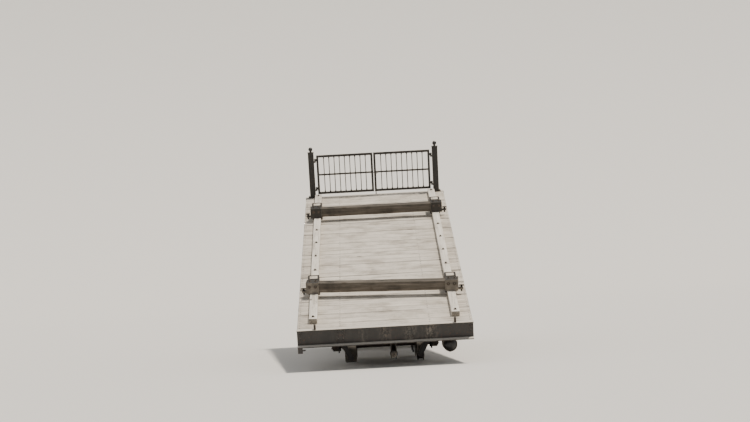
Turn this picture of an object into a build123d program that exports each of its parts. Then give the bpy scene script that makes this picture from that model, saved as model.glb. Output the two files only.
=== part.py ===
from build123d import *
from math import atan2, cos, degrees, hypot, radians, sin, tan
import os

os.makedirs("parts", exist_ok=True)

# Platform car of a funicular: a level timber deck on a wedge-shaped riveted underframe
# and two four-wheeled bogies. Millimetres. X runs across the track, Y down the track,
# Z square to the rails. The car stands on its wheels with Z 0 at the flange tips.

# Deck and slope
SLOPE = 17.0
DECK_WIDTH = 2900.0
DECK_LENGTH = 8500.0
DECK_EDGE_HEIGHT = 650.0
BOARD_COUNT = 36
BOARDS_PER_PANEL = 3
BOARD_THICKNESS = 60.0
BOARD_GAP = 5.0
PANEL_GAP = 14.0
BOARD_EDGE_INSET = 6.0

# Headstocks, the deep channels across both deck ends, open outwards
HEADSTOCK_DEPTH = 300.0
HEADSTOCK_WIDTH = 100.0
HEADSTOCK_WEB = 10.0
HEADSTOCK_FLANGE = 16.0
ROLLED_ROOT = 8.0

# Longitudinal steel under the boards
SILL_DEPTH = 140.0
SILL_WIDTH = 70.0
SILL_WEB = 8.0
SILL_FLANGE = 11.0
CHORD_OUTER = 775.0
CHORD_WIDTH = 75.0
CHORD_WEB = 9.0
CHORD_FLANGE = 12.0
TOP_CHORD_DEPTH = 200.0
BOTTOM_CHORD_DEPTH = 160.0
BOTTOM_CHORD_HEIGHT = 720.0
BOTTOM_CHORD_OVERRUN = 100.0
STRINGER_DEPTH = 80.0
STRINGER_WIDTH = 50.0
STRINGER_WEB = 6.0
STRINGER_FLANGE = 8.0
BEARER_WIDTH = 55.0
BEARER_WEB = 7.0
BEARER_FLANGE = 9.0
BEARER_SHARES = (0.0765, 0.1353, 0.2506, 0.3489, 0.4874, 0.6258, 0.7641, 0.8980)

# Outriggers, tapered brackets that carry the walkways
OUTRIGGER_PLATE = 10.0
OUTRIGGER_FLANGE = 70.0
OUTRIGGER_TIP_DEPTH = 110.0

# Truss of the wedge: one post at each share of the deck's length, measured down the track
POST_SHARES = (0.2765, 0.4088, 0.5412, 0.6735, 0.8059, 0.9294)
FIRST_PIVOT_POST = 0
SECOND_PIVOT_POST = 4
FIRST_SWAY_POST = 2
POST_WIDTH = 100.0
POST_DEPTH = 58.0
POST_WEB = 8.0
POST_FLANGE = 8.0
DIAGONAL_LEG = 75.0
DIAGONAL_THICKNESS = 8.0
DIAGONAL_SETBACK = 212.0
DIAGONAL_CLEARANCE = 6.0
GUSSET_THICKNESS = 12.0
GUSSET_HALF = 190.0
GUSSET_WING = 310.0
GUSSET_REACH = 230.0
GUSSET_SEAT = 110.0
HEEL_GUSSET_HALF = 340.0
TIE_WIDTH = 55.0
SWAY_WIDTH = 80.0
SWAY_THICKNESS = 10.0

# Kerbs, chock beams and their irons
KERB_INSET = 200.0
KERB_WIDTH = 140.0
KERB_HEIGHT = 90.0
KERB_CHAMFER = 12.0
KERB_LENGTHS = 3
KERB_JOINT = 6.0
KERB_SETBACK = (330.0, 170.0)
# Chock beams: share of the deck's length at the middle, skew in degrees
CHOCKS = ((0.1900, -5.5), (0.7741, 0.0))
CHOCK_SECTION = 200.0
CHOCK_OVERHANG = 60.0
CAP_PLATE = 14.0
CAP_LENGTH = 220.0
SHOE_LENGTH = 230.0
SHOE_RISE = 4.0
SHOE_PLATE = 30.0
SHOE_RIM = 30.0
SHOE_GAP = 4.0
SCREW_DIAMETER = 30.0
SCREW_HEIGHT = 172.0
SCREW_TIP = 56.0
SCREW_OFFSET = 54.0
COLLAR_DIAMETER = 52.0
COLLAR_HEIGHT = 9.0
TEE_DIAMETER = 24.0
TEE_LENGTH = 86.0
EYE_DIAMETER = 66.0
EYE_HEIGHT = 30.0
EYE_LEVEL = 94.0
RUNNING_CLEARANCE = 0.3

# Ramp lugs on the uphill headstock, and the bracket under its left-hand end
LUG_INSET = 300.0
LUG_WIDTH = 60.0
LUG_HEIGHT = 88.0
LUG_THICKNESS = 36.0
LUG_STATION = 46.0
LUG_BORE = 26.0
BRACKET_WIDTH = 80.0
BRACKET_DROP = 94.0
BRACKET_PLATE = 14.0
BRACKET_DEPTH = 66.0
BRACKET_INSET = 4.0
BRACKET_PIN = 13.0
BRACKET_PIN_REACH = 46.0

# Gate posts and gate leaves at the downhill end
POST_INSET = 155.0
GATE_POST_WIDTH = 120.0
GATE_POST_DEPTH = 60.0
GATE_POST_WALL = 10.0
GATE_POST_HEIGHT = 965.0
GATE_POST_SETBACK = 60.0
POST_FOOT = (190.0, 96.0, 15.0)
KNOB_DIAMETER = 88.0
PIN_DIAMETER = 20.0
PIN_OUTSTAND = 24.0
PIN_LEVELS = (170.0, 780.0)
PINTLE_ARM = 28.0
LEAF_BOTTOM = 70.0
LEAF_TOP = 905.0
LEAF_BAR = 30.0
LEAF_STILE = 44.0
LEAF_HINGE_GAP = 26.0
LEAF_MEETING_GAP = 8.0
PICKET_COUNT = 9
PICKET_DIAMETER = 18.0
KNUCKLE_DIAMETER = 36.0
KNUCKLE_HEIGHT = 50.0

# Wheels and axles
GAUGE_HALF = 600.0
TREAD_RADIUS = 300.0
FLANGE_HEIGHT = 28.0
TREAD_WIDTH = 70.0
FLANGE_WIDTH = 26.0
DRUM_WIDTH = 200.0
RIM_THICKNESS = 42.0
WHEEL_WEB = 24.0
HUB_RADIUS = 110.0
HUB_WIDTH = 150.0
AXLE_RADIUS = 62.0
JOURNAL_RADIUS = 50.0
JOURNAL_START = 755.0
JOURNAL_END = 880.0
WHEEL_HOLES = 6
WHEEL_HOLE_RADIUS = 34.0
WHEEL_HOLE_CIRCLE = 185.0

# Bogies
WHEELBASE = 1300.0
FRAME_INNER = 791.0
FRAME_PLATE = 18.0
FRAME_HALF_LENGTH = 1080.0
FRAME_LOW = 230.0
FRAME_HIGH = 560.0
HORN_WIDTH = 196.0
HORN_TOP = 440.0
FRAME_FLANGE_WIDTH = 60.0
FRAME_FLANGE_THICKNESS = 12.0
BOX_CLEARANCE = 0.5
BOX_INNER = 768.0
BOX_OUTER = 900.0
BOX_LOW = 205.0
BOX_HIGH = 420.0
STAY_DEPTH = 24.0
SPRING_LEAVES = 6
LEAF_THICKNESS = 10.0
SPRING_WIDTH = 74.0
SPRING_HALF_LENGTH = 330.0
SPRING_RADIUS = 1150.0
SPRING_GAP = 3.0
SPRING_SEAT = 15.0
SPRING_EYE_RADIUS = 19.0
SPRING_PIN_RADIUS = 10.0
SPRING_PIN_HEAD = (16.0, 8.0)
SPRING_LUG_WIDTH = 56.0
SPRING_LUG_DROP = 60.0
FRAME_SHOULDER = 110.0
FRAME_SLOPE_RUN = 160.0
FRAME_FOOT_RUN = 150.0
FRAME_WINDOW_LENGTH = 420.0
FRAME_WINDOW_HEIGHT = 130.0
HORN_FOOT = 60.0
BUCKLE_WIDTH = 84.0
TRANSOM_OFFSET = 180.0
TRANSOM_DEPTH = 170.0
TRANSOM_WIDTH = 60.0
BOLSTER_HALF_LENGTH = 600.0
BOLSTER_LOW = 450.0
BOLSTER_HIGH = 620.0
CENTRE_SEAT = 660.0
CENTRE_RADIUS = 140.0
CENTRE_PIN_RADIUS = 35.0
CENTRE_PIN_END = 560.0
BEARER_PAD_OFFSET = 520.0
BEARER_PAD_GAP = 10.0
BODY_BOLSTER_WIDTH = 260.0
GUARD_LOW = 60.0
GUARD_WIDTH = 90.0
GUARD_THICKNESS = 24.0

# Rail brakes between the bogies
BRAKE_OFFSET = 370.0
JAW_LOW = -18.0
RAIL_HEAD_HALF = 33.0
JAW_CLEARANCE = 9.0
LEVER_THICKNESS = 34.0
LEVER_WIDTH = 90.0
FULCRUM_HEIGHT = 190.0
SPINDLE_HEIGHT = 440.0
SPINDLE_RADIUS = 22.0
SPINDLE_DRUM_RADIUS = 41.0
SPINDLE_DRUM_LENGTH = 150.0
SPINDLE_NUT_RADIUS = 34.0
SPINDLE_NUT_LENGTH = 40.0
HANGER_PLATE = 16.0

# Rope anchor under the uphill end
ROPE_OFFSET = 124.0
ROPE_HEIGHT = 186.0
ANCHOR_PIN_STATION = 330.0
ANCHOR_PIN_RADIUS = 25.0
ANCHOR_PLATE = 16.0
ANCHOR_HALF_GAP = 32.0
CHEEK_LENGTH = 330.0
CHEEK_TOP = 70.0
CHEEK_NECK = 300.0
CHEEK_FOOT = 620.0
CHEEK_FOOT_SPAN = (50.0, 200.0)
STRUT_FOOT = ((100.0, 64.0), (150.0, 19.0))
STRUT_HEAD = ((70.0, -20.0), (20.0, 70.0))
SOCKET_LENGTH = 255.0
ROPE_BORE_RADIUS = 17.0
ROPE_BORE_DEPTH = 120.0

# Air tank under the right-hand walkway
TANK_INSET = 370.0
TANK_RADIUS = 112.0
TANK_HEIGHT = 268.0
TANK_OVERHANG = 58.0
TANK_DOME = 46.0
TANK_STRAP_WIDTH = 40.0
TANK_STRAP = 6.0

# Derived places. Rail top is one flange height above the floor.
RISE = sin(radians(SLOPE))
RUN = cos(radians(SLOPE))
CAR_LENGTH = DECK_LENGTH * RUN + HEADSTOCK_DEPTH * RISE
EDGE_Y = -CAR_LENGTH / 2
RAIL_TOP = FLANGE_HEIGHT
DECK = Location((0, EDGE_Y, RAIL_TOP + DECK_EDGE_HEIGHT), (SLOPE, 0, 0))
TRACK = Location((0, EDGE_Y, RAIL_TOP))
CHORD_INNER = CHORD_OUTER - CHORD_WIDTH
TOP_CHORD_LOW = -(BOARD_THICKNESS + TOP_CHORD_DEPTH)
BOTTOM_CHORD_TOP = BOTTOM_CHORD_HEIGHT + BOTTOM_CHORD_DEPTH
BEARER_STATIONS = tuple(share * DECK_LENGTH for share in BEARER_SHARES)
POST_STATIONS = tuple(share * DECK_LENGTH for share in POST_SHARES)
SWAY_STATIONS = POST_STATIONS[FIRST_SWAY_POST:]
BOGIE_PIVOTS = (POST_STATIONS[FIRST_PIVOT_POST], POST_STATIONS[SECOND_PIVOT_POST])
BRAKE_MIDDLE = sum(BOGIE_PIVOTS) / 2
BRAKE_STATIONS = (BRAKE_MIDDLE - BRAKE_OFFSET, BRAKE_MIDDLE + BRAKE_OFFSET)
KERB_OUTER = DECK_WIDTH / 2 - KERB_INSET
KERB_INNER = KERB_OUTER - KERB_WIDTH
KERB_MIDDLE = (KERB_INNER + KERB_OUTER) / 2
KERB_START = KERB_SETBACK[0]
KERB_END = DECK_LENGTH - KERB_SETBACK[1]
CHOCK_HALF_LENGTH = KERB_OUTER + CHOCK_OVERHANG
CHOCK_TOP = KERB_HEIGHT + CHOCK_SECTION
LUG_OFFSET = DECK_WIDTH / 2 - LUG_INSET
POST_CENTRE = DECK_WIDTH / 2 - POST_INSET
GATE_POST_STATION = DECK_LENGTH - GATE_POST_SETBACK
TANK_OFFSET = DECK_WIDTH / 2 - TANK_INSET
AXLE_HEIGHT = TREAD_RADIUS
BOARD_SPAN = (HEADSTOCK_WIDTH, DECK_LENGTH - HEADSTOCK_WIDTH)
BEYOND = 2 * DECK_LENGTH


def block(x0, x1, y0, y1, z0, z1):
    """Straight block between two corners."""
    return Pos((x0 + x1) / 2, (y0 + y1) / 2, (z0 + z1) / 2) * Box(x1 - x0, y1 - y0, z1 - z0)


def cylinder_between(radius, start, end):
    """Round bar between two points that differ along one axis."""
    a, b = Vector(*start), Vector(*end)
    plane = Plane(origin=a, z_dir=b - a)
    return plane * Cylinder(radius, (b - a).length, align=(Align.CENTER, Align.CENTER, Align.MIN))


def channel(depth, width, web, flange, length):
    """Rolled channel along +Y from the origin: back on X 0, open to +X, top on Z 0."""
    outer = Rectangle(width, depth, align=(Align.MIN, Align.MAX))
    pocket = Pos(web, -flange) * RectangleRounded(
        2 * width, depth - 2 * flange, ROLLED_ROOT, align=(Align.MIN, Align.MAX)
    )
    return extrude(Plane.XZ * (outer - pocket), amount=-length)


def yz_plate(points, x0, x1):
    """Flat plate from an outline of (Y, Z) points, between two X values."""
    face = Plane.YZ * make_face(Polyline(*points, close=True))
    return Pos(x0, 0, 0) * extrude(face, amount=x1 - x0)


def xz_plate(points, y0, y1):
    """Flat plate from an outline of (X, Z) points, between two Y values."""
    face = Plane.XZ * make_face(Polyline(*points, close=True))
    return Pos(0, y0, 0) * extrude(face, amount=-(y1 - y0))


def both_sides(shape):
    """The shape and its mirror image across the track's centre line."""
    return [shape, mirror(shape, about=Plane.YZ)]


def along_deck(station, level):
    """A point given along the deck and square to it, as (Y, Z) on the track."""
    return (station * RUN - level * RISE, DECK_EDGE_HEIGHT + station * RISE + level * RUN)


def chord_underside(y):
    """Height above the rail of the top chords' underside at a place down the track."""
    return DECK_EDGE_HEIGHT + TOP_CHORD_LOW / RUN + y * tan(radians(SLOPE))


def save(name, solids):
    """Write one sub-part from a solid or a list of separate solids."""
    shapes = solids if isinstance(solids, list) else [solids]
    parts = [solid for shape in shapes for solid in shape.solids()]
    export_step(Compound(children=parts) if len(parts) > 1 else parts[0], f"parts/{name}.step")
    print(f"{name}: {len(parts)} solids")


# Deck

def deck_boards():
    """Cross boards between the headstocks, with a wider joint after each panel."""
    start, end = BOARD_SPAN
    pitch = (end - start) / BOARD_COUNT
    boards = []
    for index in range(BOARD_COUNT):
        first_of_panel = index % BOARDS_PER_PANEL == 0
        last_of_panel = index % BOARDS_PER_PANEL == BOARDS_PER_PANEL - 1
        gap_before = PANEL_GAP / 2 if first_of_panel and index > 0 else BOARD_GAP / 2
        gap_after = PANEL_GAP / 2 if last_of_panel and index < BOARD_COUNT - 1 else BOARD_GAP / 2
        low = start + index * pitch + (gap_before if index > 0 else 0)
        high = start + (index + 1) * pitch - (gap_after if index < BOARD_COUNT - 1 else 0)
        half = DECK_WIDTH / 2 - BOARD_EDGE_INSET
        boards.append(DECK * block(-half, half, low, high, -BOARD_THICKNESS, 0))
    return boards


def kerb_timbers():
    """Raised wheel guides along both sides of the roadway, in lengths with chamfered tops."""
    length = (KERB_END - KERB_START + KERB_JOINT) / KERB_LENGTHS
    kerbs = []
    for index in range(KERB_LENGTHS):
        low = KERB_START + index * length
        timber = block(KERB_INNER, KERB_OUTER, low, low + length - KERB_JOINT, 0, KERB_HEIGHT)
        top_edges = timber.edges().filter_by(Axis.Y).group_by(Axis.Z)[-1]
        timber = chamfer(top_edges, KERB_CHAMFER)
        kerbs += [DECK * piece for piece in both_sides(timber)]
    return kerbs


def headstock(downhill):
    """End channel with its flanges outwards, laid across the car."""
    bar = channel(HEADSTOCK_DEPTH, HEADSTOCK_WIDTH, HEADSTOCK_WEB, HEADSTOCK_FLANGE, DECK_WIDTH)
    turned = Rot(0, 0, -90) * bar
    placed = Pos(-DECK_WIDTH / 2, HEADSTOCK_WIDTH, 0) * turned
    if downhill:
        placed = Pos(0, DECK_LENGTH, 0) * mirror(placed, about=Plane.XZ)
    else:
        placed += corner_bracket()
    return DECK * placed


def corner_bracket():
    """Hanging plate with a rib and a stub pin, under the left-hand end of the uphill channel."""
    x0 = -DECK_WIDTH / 2 + BRACKET_INSET
    x1 = x0 + BRACKET_WIDTH
    top, bottom = -HEADSTOCK_DEPTH, -HEADSTOCK_DEPTH - BRACKET_DROP
    weld = top + HEADSTOCK_FLANGE / 2
    bracket = block(x0, x1, 0, BRACKET_PLATE, bottom, weld)
    bracket += block(x0, x0 + BRACKET_PLATE, 0, BRACKET_DEPTH, bottom + BRACKET_DROP / 3, weld)
    level = (top + bottom) / 2
    bracket += cylinder_between(BRACKET_PIN, (x0 + BRACKET_WIDTH / 2, BRACKET_PLATE + BRACKET_PIN, level),
                                (x1 + BRACKET_PIN_REACH, BRACKET_PLATE + BRACKET_PIN, level))
    return bracket


def side_sills():
    """Edge channels under the board ends, open outwards."""
    start, end = BOARD_SPAN
    bar = channel(SILL_DEPTH, SILL_WIDTH, SILL_WEB, SILL_FLANGE, end - start)
    bar = Pos(DECK_WIDTH / 2 - SILL_WIDTH, start, -BOARD_THICKNESS) * bar
    return [DECK * piece for piece in both_sides(bar)]


def top_chords():
    """Upper channels of the two trusses, web outside so that the gussets lie flush."""
    start, end = BOARD_SPAN
    bar = channel(TOP_CHORD_DEPTH, CHORD_WIDTH, CHORD_WEB, CHORD_FLANGE, end - start)
    bar = Pos(-CHORD_OUTER, start, -BOARD_THICKNESS) * bar
    return [DECK * piece for piece in both_sides(bar)]


def centre_stringer():
    """Light channel under the middle of the boards."""
    start, end = BOARD_SPAN
    bar = channel(STRINGER_DEPTH, STRINGER_WIDTH, STRINGER_WEB, STRINGER_FLANGE, end - start)
    return DECK * (Pos(-STRINGER_WIDTH / 2, start, -BOARD_THICKNESS) * bar)


def cross_bearers():
    """Channels between the two top chords, under the centre stringer."""
    depth = TOP_CHORD_DEPTH - STRINGER_DEPTH
    bearers = []
    for station in BEARER_STATIONS:
        bar = channel(depth, BEARER_WIDTH, BEARER_WEB, BEARER_FLANGE, 2 * CHORD_INNER)
        turned = Pos(-CHORD_INNER, station, TOP_CHORD_LOW + depth) * (Rot(0, 0, -90) * bar)
        bearers.append(DECK * turned)
    return bearers


def outriggers():
    """Tapered I-section brackets from the top chords to the side sills."""
    root = CHORD_OUTER
    tip = DECK_WIDTH / 2 - SILL_WIDTH
    top = -BOARD_THICKNESS
    root_low = TOP_CHORD_LOW
    tip_low = top - OUTRIGGER_TIP_DEPTH
    t = OUTRIGGER_PLATE
    web = [(root, top), (tip, top), (tip, tip_low), (root, root_low)]
    upper = [(root, top), (tip, top), (tip, top - t), (root, top - t)]
    lower = [(root, root_low), (tip, tip_low), (tip, tip_low + t), (root, root_low + t)]
    brackets = []
    for station in BEARER_STATIONS:
        wide = (station - OUTRIGGER_FLANGE / 2, station + OUTRIGGER_FLANGE / 2)
        thin = (station - t / 2, station + t / 2)
        bracket = xz_plate(web, *thin) + xz_plate(upper, *wide) + xz_plate(lower, *wide)
        bracket += block(root, root + t, *wide, root_low, top)
        bracket += block(tip - t, tip, *wide, tip_low, top)
        brackets += [DECK * piece for piece in both_sides(bracket)]
    return brackets


# Wedge truss

def bottom_chords():
    """Lower channels along the track, cut to the slope where they run under the top chords."""
    end = POST_STATIONS[-1] + BOTTOM_CHORD_OVERRUN
    bar = channel(BOTTOM_CHORD_DEPTH, CHORD_WIDTH, CHORD_WEB, CHORD_FLANGE, end)
    bar = TRACK * (Pos(-CHORD_OUTER, 0, BOTTOM_CHORD_TOP) * bar)
    above = DECK * block(-DECK_WIDTH, DECK_WIDTH, -BEYOND, BEYOND, TOP_CHORD_LOW, BEYOND)
    chord = bar - above
    return both_sides(chord)


def truss_posts():
    """Upright channels between the chords, their tops cut to the slope."""
    above = DECK * block(-DECK_WIDTH, DECK_WIDTH, -BEYOND, BEYOND, TOP_CHORD_LOW, BEYOND)
    posts = []
    for y in POST_STATIONS:
        top = chord_underside(y) + POST_WIDTH
        bar = channel(POST_WIDTH, POST_DEPTH, POST_WEB, POST_FLANGE, top - BOTTOM_CHORD_TOP)
        upright = Rot(90, 0, 0) * bar
        placed = Pos(-CHORD_OUTER, y - POST_WIDTH / 2, BOTTOM_CHORD_TOP) * upright
        posts += both_sides(TRACK * placed - above)
    return posts


def truss_diagonals():
    """Angle bars from the foot of each post to the head of the next one downhill."""
    bars = []
    for foot_y, head_y in zip(POST_STATIONS[:-1], POST_STATIONS[1:]):
        span = head_y - foot_y
        climb = chord_underside(head_y) - BOTTOM_CHORD_TOP
        angle = degrees(atan2(climb, span))
        leg = DIAGONAL_LEG
        nearest_chord = (leg / 2 + DIAGONAL_CLEARANCE) / sin(radians(angle - SLOPE))
        start = DIAGONAL_SETBACK
        end = hypot(span, climb) - max(DIAGONAL_SETBACK, nearest_chord)
        length = end - start
        along = (start + end) / 2
        middle = (foot_y + along * cos(radians(angle)),
                  BOTTOM_CHORD_TOP + along * sin(radians(angle)))
        flat = block(-CHORD_OUTER, -CHORD_OUTER + DIAGONAL_THICKNESS,
                     -length / 2, length / 2, -leg / 2, leg / 2)
        stem = block(-CHORD_OUTER, -CHORD_OUTER + leg,
                     -length / 2, length / 2, -leg / 2, -leg / 2 + DIAGONAL_THICKNESS)
        bar = Pos(0, *middle) * (Rot(angle, 0, 0) * (flat + stem))
        bars += both_sides(TRACK * bar)
    return bars


def gusset_plates():
    """Riveted plates over every joint of the trusses, on the outer face of the webs."""
    x0, x1 = -CHORD_OUTER - GUSSET_THICKNESS, -CHORD_OUTER
    heel = (BOTTOM_CHORD_TOP - chord_underside(0)) / tan(radians(SLOPE))
    start, end = heel - HEEL_GUSSET_HALF, heel + HEEL_GUSSET_HALF
    seat = GUSSET_SEAT
    first = POST_STATIONS[0]
    outlines = [
        [(start, BOTTOM_CHORD_TOP - seat), (end, BOTTOM_CHORD_TOP - seat),
         (end, chord_underside(end) + seat), (start + seat, chord_underside(start + seat) + seat)],
        [(first - GUSSET_HALF / 2, BOTTOM_CHORD_TOP - seat),
         (first + GUSSET_WING, BOTTOM_CHORD_TOP - seat),
         (first + GUSSET_WING, chord_underside(first + GUSSET_WING) + seat),
         (first - GUSSET_HALF / 2, chord_underside(first - GUSSET_HALF / 2) + seat)],
    ]
    for y in POST_STATIONS[1:]:
        last = y == POST_STATIONS[-1]
        downhill = GUSSET_HALF / 2 if last else GUSSET_WING
        outlines.append([
            (y - GUSSET_HALF / 2, BOTTOM_CHORD_TOP - seat), (y + downhill, BOTTOM_CHORD_TOP - seat),
            (y + downhill, BOTTOM_CHORD_TOP + GUSSET_REACH / 2),
            (y + GUSSET_HALF / 2, BOTTOM_CHORD_TOP + GUSSET_REACH),
            (y - GUSSET_HALF / 2, BOTTOM_CHORD_TOP + GUSSET_REACH)])
        low, high = y - GUSSET_WING, y + GUSSET_HALF / 2
        outlines.append([
            (low, chord_underside(low) + seat), (high, chord_underside(high) + seat),
            (high, chord_underside(high) - GUSSET_REACH),
            (y - GUSSET_HALF / 2, chord_underside(high) - GUSSET_REACH),
            (low, chord_underside(low) - GUSSET_REACH / 2)])
    plates = []
    for outline in outlines:
        plates += both_sides(TRACK * yz_plate(outline, x0, x1))
    return plates


def bottom_ties():
    """Cross channels between the bottom chords, clear of the two bolsters."""
    ties = []
    for y in POST_STATIONS:
        if y in BOGIE_PIVOTS:
            continue
        bar = channel(BOTTOM_CHORD_DEPTH, TIE_WIDTH, BEARER_WEB, BEARER_FLANGE, 2 * CHORD_INNER)
        placed = Pos(-CHORD_INNER, y + TIE_WIDTH / 2, BOTTOM_CHORD_TOP) * (Rot(0, 0, -90) * bar)
        ties.append(TRACK * placed)
    return ties


def sway_braces():
    """Crossed flat bars between the left and right posts, one on each face of the posts."""
    braces = []
    half = CHORD_OUTER - POST_DEPTH / 2
    for y in SWAY_STATIONS:
        low = BOTTOM_CHORD_TOP + SWAY_WIDTH
        high = chord_underside(y) - SWAY_WIDTH
        length = hypot(2 * half, high - low) - SWAY_WIDTH / 2
        angle = degrees(atan2(high - low, 2 * half))
        for face, turn in ((y + POST_WIDTH / 2, -angle), (y - POST_WIDTH / 2 - SWAY_THICKNESS, angle)):
            bar = block(-length / 2, length / 2, 0, SWAY_THICKNESS, -SWAY_WIDTH / 2, SWAY_WIDTH / 2)
            braces.append(TRACK * (Pos(0, face, (low + high) / 2) * (Rot(0, turn, 0) * bar)))
    return braces


def body_bolsters():
    """Box beams over the bogies with the upper centre plates, pivot pins and side pads."""
    beams = []
    for y in BOGIE_PIVOTS:
        half = BODY_BOLSTER_WIDTH / 2
        beam = block(-CHORD_INNER, CHORD_INNER, y - half, y + half,
                     BOTTOM_CHORD_HEIGHT, BOTTOM_CHORD_TOP)
        seat = CENTRE_SEAT + RUNNING_CLEARANCE
        beam += cylinder_between(CENTRE_RADIUS, (0, y, seat), (0, y, BOTTOM_CHORD_HEIGHT))
        beam += cylinder_between(CENTRE_PIN_RADIUS, (0, y, CENTRE_PIN_END), (0, y, BOTTOM_CHORD_HEIGHT))
        for x in (-BEARER_PAD_OFFSET, BEARER_PAD_OFFSET):
            beam += block(x - 60, x + 60, y - 60, y + 60, CENTRE_SEAT, BOTTOM_CHORD_HEIGHT)
        beams.append(TRACK * beam)
    return beams


# Deck fittings

def chock_place(share, skew):
    """Frame of a chock beam: its middle on the deck's centre line, turned by its skew."""
    return DECK * Pos(0, share * DECK_LENGTH, 0) * Rot(0, 0, skew)


def chock_beams():
    """Square timbers laid across the kerbs to hold the wheels of what the car carries."""
    beams = []
    half = CHOCK_SECTION / 2 - CAP_PLATE
    reach = CHOCK_HALF_LENGTH - CAP_PLATE
    for share, skew in CHOCKS:
        beam = block(-reach, reach, -half, half, KERB_HEIGHT + CAP_PLATE, CHOCK_TOP - CAP_PLATE)
        beams.append(chock_place(share, skew) * beam)
    return beams


def shoe_start(share, skew, side):
    """Nearest place along the deck for a shoe behind one end of a chock beam."""
    turn = radians(skew)
    widest = max(side * KERB_INNER * tan(turn), side * KERB_OUTER * tan(turn))
    plate = SHOE_PLATE * abs(tan(turn))
    return share * DECK_LENGTH + widest + plate + CHOCK_SECTION / 2 / cos(turn) + SHOE_GAP


def chock_shoes():
    """Hollow iron saddles over the kerbs with a rimmed top, each behind one end of a beam."""
    shoes = []
    inner = KERB_INNER - SHOE_PLATE
    outer = KERB_OUTER + SHOE_PLATE
    top = CHOCK_TOP + SHOE_RISE
    for share, skew in CHOCKS:
        for side in (-1, 1):
            start = shoe_start(share, skew, side)
            end = start + SHOE_LENGTH
            box = block(inner, outer, start, end, 0, top)
            box = fillet(box.edges().filter_by(Axis.Z), SHOE_RIM)
            box -= block(KERB_INNER, KERB_OUTER, start - 1, end + 1, -1, KERB_HEIGHT)
            box -= block(KERB_INNER, KERB_OUTER, start + SHOE_PLATE, end + 1,
                         KERB_HEIGHT - 1, top - SHOE_RIM - SHOE_PLATE)
            box -= block(inner + SHOE_RIM, outer - SHOE_RIM, start + SHOE_RIM, end - SHOE_RIM,
                         top - SHOE_RIM, top + 1)
            box = box if side > 0 else mirror(box, about=Plane.YZ)
            shoes.append(DECK * box)
    return shoes


def screw_axis():
    """Distance of a locking screw from the middle of its chock beam."""
    return CHOCK_HALF_LENGTH + SCREW_OFFSET


def chock_end_irons():
    """Iron caps on the beam ends, each with the eye that guides its locking screw."""
    irons = []
    half = CHOCK_SECTION / 2
    for share, skew in CHOCKS:
        x = screw_axis()
        cap = block(CHOCK_HALF_LENGTH - CAP_LENGTH, CHOCK_HALF_LENGTH, -half, half, KERB_HEIGHT, CHOCK_TOP)
        cap -= block(CHOCK_HALF_LENGTH - CAP_LENGTH - 1, CHOCK_HALF_LENGTH - CAP_PLATE,
                     CAP_PLATE - half, half - CAP_PLATE, KERB_HEIGHT + CAP_PLATE, CHOCK_TOP - CAP_PLATE)
        cap += cylinder_between(EYE_DIAMETER / 2, (x, 0, EYE_LEVEL), (x, 0, EYE_LEVEL + EYE_HEIGHT))
        cap += block(CHOCK_HALF_LENGTH, x, -EYE_DIAMETER / 2, EYE_DIAMETER / 2,
                     EYE_LEVEL, EYE_LEVEL + EYE_HEIGHT)
        bore = SCREW_DIAMETER / 2 + RUNNING_CLEARANCE
        cap -= cylinder_between(bore, (x, 0, 0), (x, 0, CHOCK_TOP))
        irons += [chock_place(share, skew) * piece for piece in both_sides(cap)]
    return irons


def chock_screws():
    """T-handled screws through the eyes of the caps, standing on their collars."""
    screws = []
    for share, skew in CHOCKS:
        x = screw_axis()
        seat = EYE_LEVEL + EYE_HEIGHT
        screw = cylinder_between(SCREW_DIAMETER / 2, (x, 0, SCREW_TIP), (x, 0, SCREW_HEIGHT))
        screw += cylinder_between(COLLAR_DIAMETER / 2, (x, 0, seat), (x, 0, seat + COLLAR_HEIGHT))
        level = SCREW_HEIGHT - TEE_DIAMETER / 2
        screw += cylinder_between(TEE_DIAMETER / 2, (x - TEE_LENGTH / 2, 0, level),
                                  (x + TEE_LENGTH / 2, 0, level))
        screws += [chock_place(share, skew) * piece for piece in both_sides(screw)]
    return screws


def ramp_lugs():
    """Upright eyes on the uphill headstock that take the pins of a loading ramp."""
    x0, x1 = LUG_OFFSET - LUG_THICKNESS / 2, LUG_OFFSET + LUG_THICKNESS / 2
    centre = LUG_HEIGHT - LUG_WIDTH / 2
    lug = block(x0, x1, LUG_STATION - LUG_WIDTH / 2, LUG_STATION + LUG_WIDTH / 2, 0, centre)
    lug += cylinder_between(LUG_WIDTH / 2, (x0, LUG_STATION, centre), (x1, LUG_STATION, centre))
    lug -= cylinder_between(LUG_BORE / 2, (x0 - 1, LUG_STATION, centre), (x1 + 1, LUG_STATION, centre))
    return [DECK * piece for piece in both_sides(lug)]


# Downhill gate

def hinge_place():
    """X of the right-hand hinge axis."""
    return POST_CENTRE - GATE_POST_WIDTH / 2 - PIN_OUTSTAND


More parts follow.
